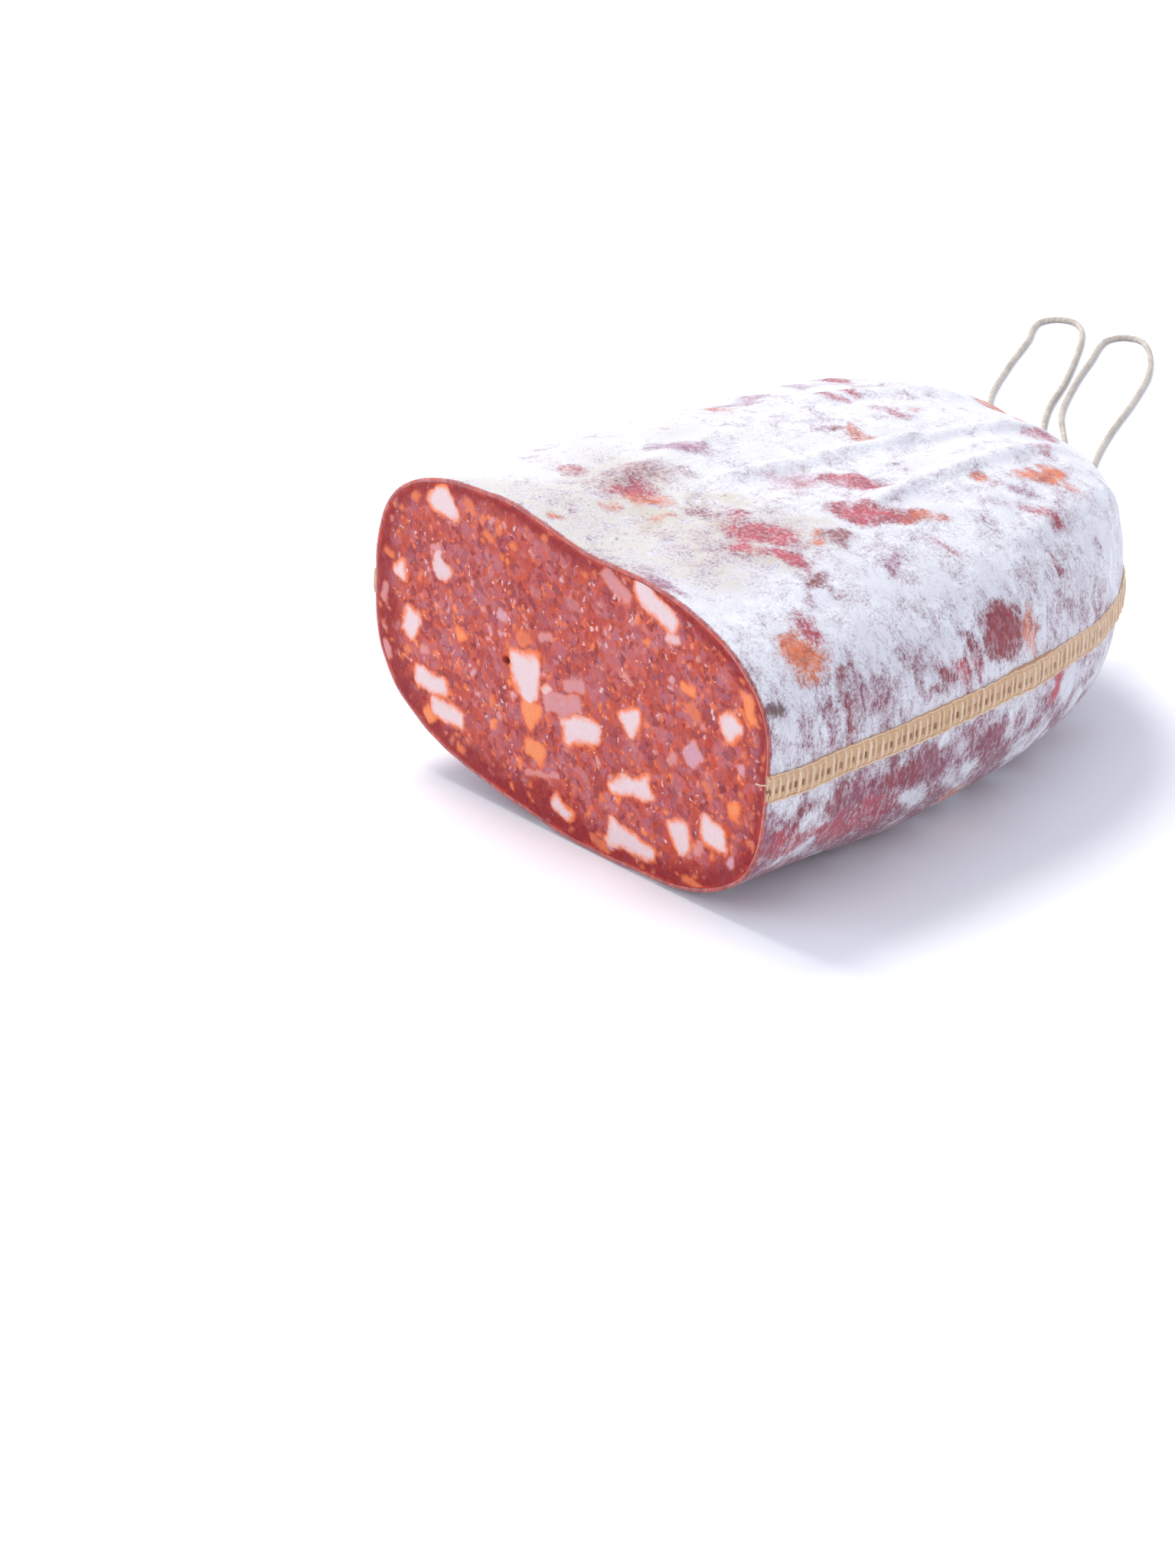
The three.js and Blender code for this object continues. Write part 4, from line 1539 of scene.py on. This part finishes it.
def flip_if_inside_out(piece: bpy.types.Object) -> None:
    """Turns a closed mesh's faces over when the volume inside them comes out negative."""
    mesh = piece.data
    mesh.calc_loop_triangles()
    count = len(mesh.loop_triangles)
    corners = np.zeros(count * 3, dtype=np.int32)
    mesh.loop_triangles.foreach_get("vertices", corners)
    points = np.zeros(len(mesh.vertices) * 3, dtype=np.float32)
    mesh.vertices.foreach_get("co", points)
    a, b, c = points.reshape(-1, 3)[corners.reshape(-1, 3)].transpose(1, 0, 2).astype(float)
    if np.sum(a * np.cross(b, c)) < 0:
        mesh.flip_normals()


# ------------------------------------------------------------------------------------------------
# The twine


@dataclass
class Strand:
    """A round thread or two-ply twine along a path, in millimetres."""

    path: Array
    radius: float
    sides: int = 14
    reference: tuple[float, float, float] = (0.0, 0.0, 1.0)
    ply: float = 0.2
    lay: float = 3.6
    closed: bool = False

    def mesh(self, first: int = 0) -> tuple[Array, list[Faces], Array]:
        """Carries the section along the path.

        The section is a circle whose radius dips by the ply share at two opposite places, and it
        turns once for each lay length. It stands square to the path, on the cross product of the
        path's direction and the reference.

        Args:
            first: Number of the first point.

        Returns:
            Points, faces and run map.
        """
        path = self.path
        if self.closed:
            tangent = unit(np.roll(path, -1, 0) - np.roll(path, 1, 0))
        else:
            tangent = unit(np.gradient(path, axis=0))
        side = unit(np.cross(tangent, np.array(self.reference)))
        up = np.cross(side, tangent)
        along, around = self.places()
        radius = self.radius * (1 - self.ply * self.dip(along, around))
        points = (
            path[:, None]
            + (radius * np.cos(around))[..., None] * side[:, None]
            + (radius * np.sin(around))[..., None] * up[:, None]
        )
        faces = [grid_faces(len(path), self.sides, True, first)]
        last = first + (len(path) - 1) * self.sides
        ring = np.arange(self.sides)
        if self.closed:
            next_ = np.roll(ring, -1)
            faces.append(np.stack([last + ring, first + ring, first + next_, last + next_], -1))
        else:
            faces += [(first + ring)[None, ::-1], (last + ring)[None]]
        return points.reshape(-1, 3), faces, np.stack([along, around * self.radius], -1).reshape(-1, 2)

    def places(self) -> Sequence[Array]:
        """Length along the path and angle around it, for every point."""
        angle = np.arange(self.sides) * math.tau / self.sides
        return np.meshgrid(lengths_along(self.path), angle, indexing="ij")

    def dip(self, along: Array, around: Array) -> Array:
        """Depth of the groove between the plies, 0 on a ply and 1 in the groove."""
        return 1 - np.abs(np.cos(around - along * math.tau / self.lay)) ** 0.6

    def grooves(self) -> Array:
        """The groove depth at every point."""
        return self.dip(*self.places()).ravel()


def join_strands(strands: Sequence[Strand], first: int = 0) -> tuple[Array, list[Faces], Array]:
    """Puts several strands into one set of points.

    Args:
        strands: The strands, in order.
        first: Number of the first point.

    Returns:
        Points, faces and run map of all of them.
    """
    points, faces, runs = [], [], []
    for strand in strands:
        strand_points, strand_faces, run = strand.mesh(first)
        first += len(strand_points)
        points.append(strand_points)
        faces.extend(strand_faces)
        runs.append(run)
    return np.concatenate(points), faces, np.concatenate(runs)


def smooth_route(places: Array, spacing: float) -> Array:
    """A smooth path through places, by centripetal Catmull-Rom curves, evenly sampled.

    Between two places the curve is a cubic whose end slopes come from the neighbours, with times
    between places equal to the square roots of their distances. A place is added before the first
    and after the last, as far out as the second is in.

    Args:
        places: The places to pass through.
        spacing: Distance between samples.

    Returns:
        Places along the path.
    """
    held = np.concatenate([[2 * places[0] - places[1]], places, [2 * places[-1] - places[-2]]])
    p0, p1, p2, p3 = held[:-3], held[1:-2], held[2:-1], held[3:]
    pairs = ((p0, p1), (p1, p2), (p2, p3))
    t0, t1, t2 = (np.sqrt(np.linalg.norm(b - a, axis=1))[:, None] for a, b in pairs)
    leave = ((p1 - p0) / t0 - (p2 - p0) / (t0 + t1) + (p2 - p1) / t1) * t1
    arrive = ((p2 - p1) / t1 - (p3 - p1) / (t1 + t2) + (p3 - p2) / t2) * t1
    t = np.linspace(0, 1, 60, endpoint=False)[:, None, None]
    curve = p1 + leave * t + (3 * (p2 - p1) - 2 * leave - arrive) * t**2
    curve = curve + (2 * (p1 - p2) + leave + arrive) * t**3
    curve = np.concatenate([curve.transpose(1, 0, 2).reshape(-1, 3), places[-1:]])
    run = lengths_along(curve)
    even = np.linspace(0, run[-1], int(run[-1] / spacing) + 1)
    return np.stack([np.interp(even, run, curve[:, i]) for i in range(3)], -1)


LEFT_ROUTE = (
    (-21.7, 79.4, 35.7), (-22.3, 85.3, 35.3), (-25, 89.6, 32.4), (-28.8, 93.3, 26.8), (-33, 97, 19.2),
    (-37.4, 100.8, 11.4), (-42, 104.6, 4.7), (-47.2, 108.4, 1.5), (-53, 112.2, 0.9), (-64, 119.2, 0.8),
    (-80, 130, 0.8), (-96.6, 143.5, 0.8), (-114.8, 156.4, 0.8), (-130.7, 170.2, 0.8), (-145.2, 190.2, 0.8),
    (-156.4, 207.9, 0.8), (-161.2, 214, 0.8), (-163.7, 218.8, 0.8), (-162.6, 223.4, 0.8),
    (-158.3, 225.3, 0.8), (-153.3, 223.2, 0.8), (-147.6, 217.8, 0.8), (-139.4, 208, 0.8),
    (-128.2, 193.3, 0.8), (-117.1, 177, 0.8), (-105.1, 163.3, 0.8), (-90.5, 149.4, 0.8), (-74, 136.4, 0.8),
    (-60, 125.4, 0.8), (-49, 117.4, 0.9), (-43.2, 113.2, 1.5), (-38.2, 108.6, 4.8), (-33.4, 103.6, 11.4),
    (-28.6, 98.9, 19.4), (-24.4, 94.4, 27), (-21, 89.8, 32.8), (-18.9, 85.3, 35.3), (-18.3, 79.4, 35.7),
)
RIGHT_ROUTE = (
    (-7.7, 79.4, 35.7), (-8.7, 85.2, 35.3), (-12.6, 88.9, 32.5), (-17.4, 92.6, 26.8), (-22.2, 97, 19.2),
    (-26.8, 101.8, 11.4), (-31.6, 106.8, 4.7), (-37, 111.8, 1.5), (-43, 116.8, 0.9), (-53.6, 125.4, 0.8),
    (-68.5, 137.2, 0.8), (-84, 151.2, 0.8), (-98.8, 164.6, 0.8), (-112.2, 176.6, 0.8), (-125.8, 194.6, 0.8),
    (-136, 210.4, 0.8), (-140.8, 217.5, 0.8), (-143, 222.3, 0.8), (-142, 226.8, 0.8), (-137.8, 228.6, 0.8),
    (-133, 226.5, 0.8), (-126.8, 221.5, 0.8), (-117.9, 211.9, 0.8), (-106.6, 195.3, 0.8),
    (-94.6, 175.7, 0.8), (-82.8, 159, 0.8), (-69, 143.8, 0.8), (-54, 130.8, 0.8), (-41.8, 122.2, 0.9),
    (-35.4, 117.4, 1.5), (-29.8, 112, 4.8), (-24.4, 106, 11.4), (-19.2, 99.8, 19.4), (-14.2, 94, 27),
    (-9.2, 89, 32.8), (-5.4, 85.1, 35.3), (-4.2, 79.4, 35.7),
)


@dataclass
class HangingLoop:
    """A loop of twine that leaves a knot, lies on the surface and comes back to the knot."""

    side: str
    route: Sequence[Sequence[float]]
    length: float
    diameter: float = 1.4
    spacing: float = 0.42

    def build(self, material: bpy.types.Material, knot: bpy.types.Object) -> bpy.types.Object:
        """Args:
            material: The twine's material.
            knot: Not used.

        Returns:
            The loop.
        """
        path = smooth_route(np.array(self.route, float), self.spacing)
        strand = Strand(path, self.diameter / 2)
        points, faces, run = strand.mesh()
        piece = make_piece(f"hanging_loop_{self.side}", points, faces)
        add_run(piece, run)
        add_measure(piece, "groove", strand.grooves())
        flip_if_inside_out(piece)
        finish_piece(piece, "twine", material, f"loop_{self.side}")
        return piece


@dataclass
class Knot:
    """The overhand knot that ties a loop to the sewn end."""

    side: str
    radius: float = 1.7
    twine_radius: float = 0.66

    def build(self, material: bpy.types.Material) -> bpy.types.Object:
        """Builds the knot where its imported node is.

        The knot is a trefoil: a line that turns twice about the knot's middle while it goes three
        times round the ring that it turns on. Two short stubs run from it into the sewn end and out
        to the loop.

        Args:
            material: The twine's material.

        Returns:
            The knot.
        """
        low, high = (np.array(corner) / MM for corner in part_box(f"knot_{self.side}"))
        middle = (low + high) / 2
        turn = np.linspace(0, 2 * math.tau, 260, endpoint=False)
        wide = self.radius * (2 + np.cos(1.5 * turn)) / 2
        lift = self.radius * np.sin(1.5 * turn) / 2
        trefoil = np.stack([wide * np.cos(turn), lift, wide * np.sin(turn)], -1)
        spread = (high - low)[0] / 2 - self.twine_radius - 0.05
        trefoil[:, [0, 2]] *= spread / np.abs(trefoil[:, 0]).max()
        strands = [Strand(trefoil + middle, self.twine_radius, 12, (0.0, 1.0, 0.0), closed=True)]
        share = np.linspace(0, 1, 16)[:, None]
        for shift in (-1.7, 1.7):
            inner = middle + np.array([shift * 0.5, -3.2, 0.0])
            outer = middle + np.array([shift, 2.2, 0.0])
            strands.append(Strand(inner + (outer - inner) * share, self.twine_radius, 12))
        points, faces, run = join_strands(strands)
        piece = make_piece(f"twine_knot_{self.side}", points, faces)
        add_run(piece, run)
        add_measure(piece, "groove", np.concatenate([strand.grooves() for strand in strands]))
        flip_if_inside_out(piece)
        return finish_piece(piece, "twine", material, f"knot_{self.side}")


# ------------------------------------------------------------------------------------------------
# The studio


@dataclass
class AreaLight:
    """A soft box that shines at the body."""

    name: str
    place: tuple[float, float, float]
    size: float
    power: float
    colour: tuple[float, float, float]

    def build(self) -> bpy.types.Object:
        """Builds the light, turned to the body's middle."""
        data = bpy.data.lights.new(self.name, "AREA")
        data.shape = "DISK"
        data.size, data.energy, data.color = self.size, self.power, self.colour
        light = bpy.data.objects.new(self.name, data)
        bpy.context.scene.collection.objects.link(light)
        light.location = self.place
        away = np.array(self.place) - np.array([0.0, 0.0, 0.03])
        light.rotation_euler = (
            math.atan2(float(np.hypot(away[0], away[1])), float(away[2])),
            0.0,
            math.atan2(float(away[0]), -float(away[1])),
        )
        return light


@dataclass
class Studio:
    """Floor, light and camera."""

    floor_half: float = 4.0
    camera_place: tuple[float, float, float] = (0.8886, -0.8144, 0.5268)
    camera_tilt: float = math.radians(66)
    camera_turn: float = math.radians(50)
    lens: float = 140.6
    sky: Colour = (0.82, 0.87, 1.0, 1.0)
    sky_strength: float = 0.84
    lights: tuple[AreaLight, ...] = (
        AreaLight("key", (-0.95, 0.1, 1.6), 0.9, 26.0, (1.0, 0.985, 0.96)),
        AreaLight("front", (0.1, -1.9, 1.0), 1.2, 2.5, (1.0, 0.99, 0.98)),
        AreaLight("rear", (1.5, 1.2, 0.6), 1.2, 5.0, (0.92, 0.96, 1.0)),
        AreaLight("low", (-1.3, -1.3, 0.35), 1.1, 12.0, (0.92, 0.96, 1.0)),
    )

    def build(self) -> None:
        """Builds the whole studio."""
        self.build_camera()
        self.build_floor()
        for light in self.lights:
            light.build()
        world = bpy.data.worlds.new("studio")
        world.use_nodes = True
        backdrop = world.node_tree.nodes["Background"]
        backdrop.inputs["Color"].default_value = self.sky
        backdrop.inputs["Strength"].default_value = self.sky_strength
        bpy.context.scene.world = world
        bpy.context.scene.view_settings.view_transform = "Standard"

    def build_camera(self) -> None:
        """Sets the camera at the sausage's right, in front and above."""
        data = bpy.data.cameras.new("camera")
        data.lens, data.sensor_width, data.sensor_fit = self.lens, 36.0, "AUTO"
        data.clip_start, data.clip_end = 0.05, 20.0
        camera = bpy.data.objects.new("camera", data)
        bpy.context.scene.collection.objects.link(camera)
        camera.location = self.camera_place
        camera.rotation_euler = (self.camera_tilt, 0.0, self.camera_turn)
        bpy.context.scene.camera = camera

    def build_floor(self) -> None:
        """Lays a plain white floor."""
        side = np.linspace(-self.floor_half, self.floor_half, 3) / MM
        x, y = np.meshgrid(side, side, indexing="ij")
        floor = make_piece("floor", np.stack([x, y, 0 * x], -1), [grid_faces(3, 3, False)])
        material, graph, skin = new_material("floor_paper")
        tooth = graph.noise(graph.place(), 1.5, 2.0).outputs[0]
        graph.feed(skin.inputs["Base Color"], graph.mix(tooth, shade(249, 249, 251), shade(251, 251, 253)))
        skin.inputs["Roughness"].default_value = 0.85
        floor.data.materials.append(material)


def main() -> None:
    """Builds the studio and every piece of the sausage, in order."""
    logging.basicConfig(level=logging.INFO, format="%(name)s %(message)s")
    Studio().build()
    effects = Effects()
    twine = SpunFibre("twine_fibre", shade(226, 216, 204), shade(164, 152, 140)).material(effects)
    for side, route, length in (("left", LEFT_ROUTE, 447.2), ("right", RIGHT_ROUTE, 437.9)):
        knot = Knot(side).build(twine)
        HangingLoop(side, route, length).build(twine, knot)

    shape = BodyShape()
    shape.settle(*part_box("casing"))
    Casing(shape, MouldedCasing()).build(effects)
    CutMeat(shape, CuredMeat()).build(effects)
    thread = SpunFibre("seam_thread_fibre", shade(240, 216, 190), shade(216, 180, 146), 0.4)
    seam = Seam(SeamLine(shape), SeamCloth(), thread)
    seam.build_band(effects)
    seam.build_stitches(effects)


if __name__ == "__main__":
    main()
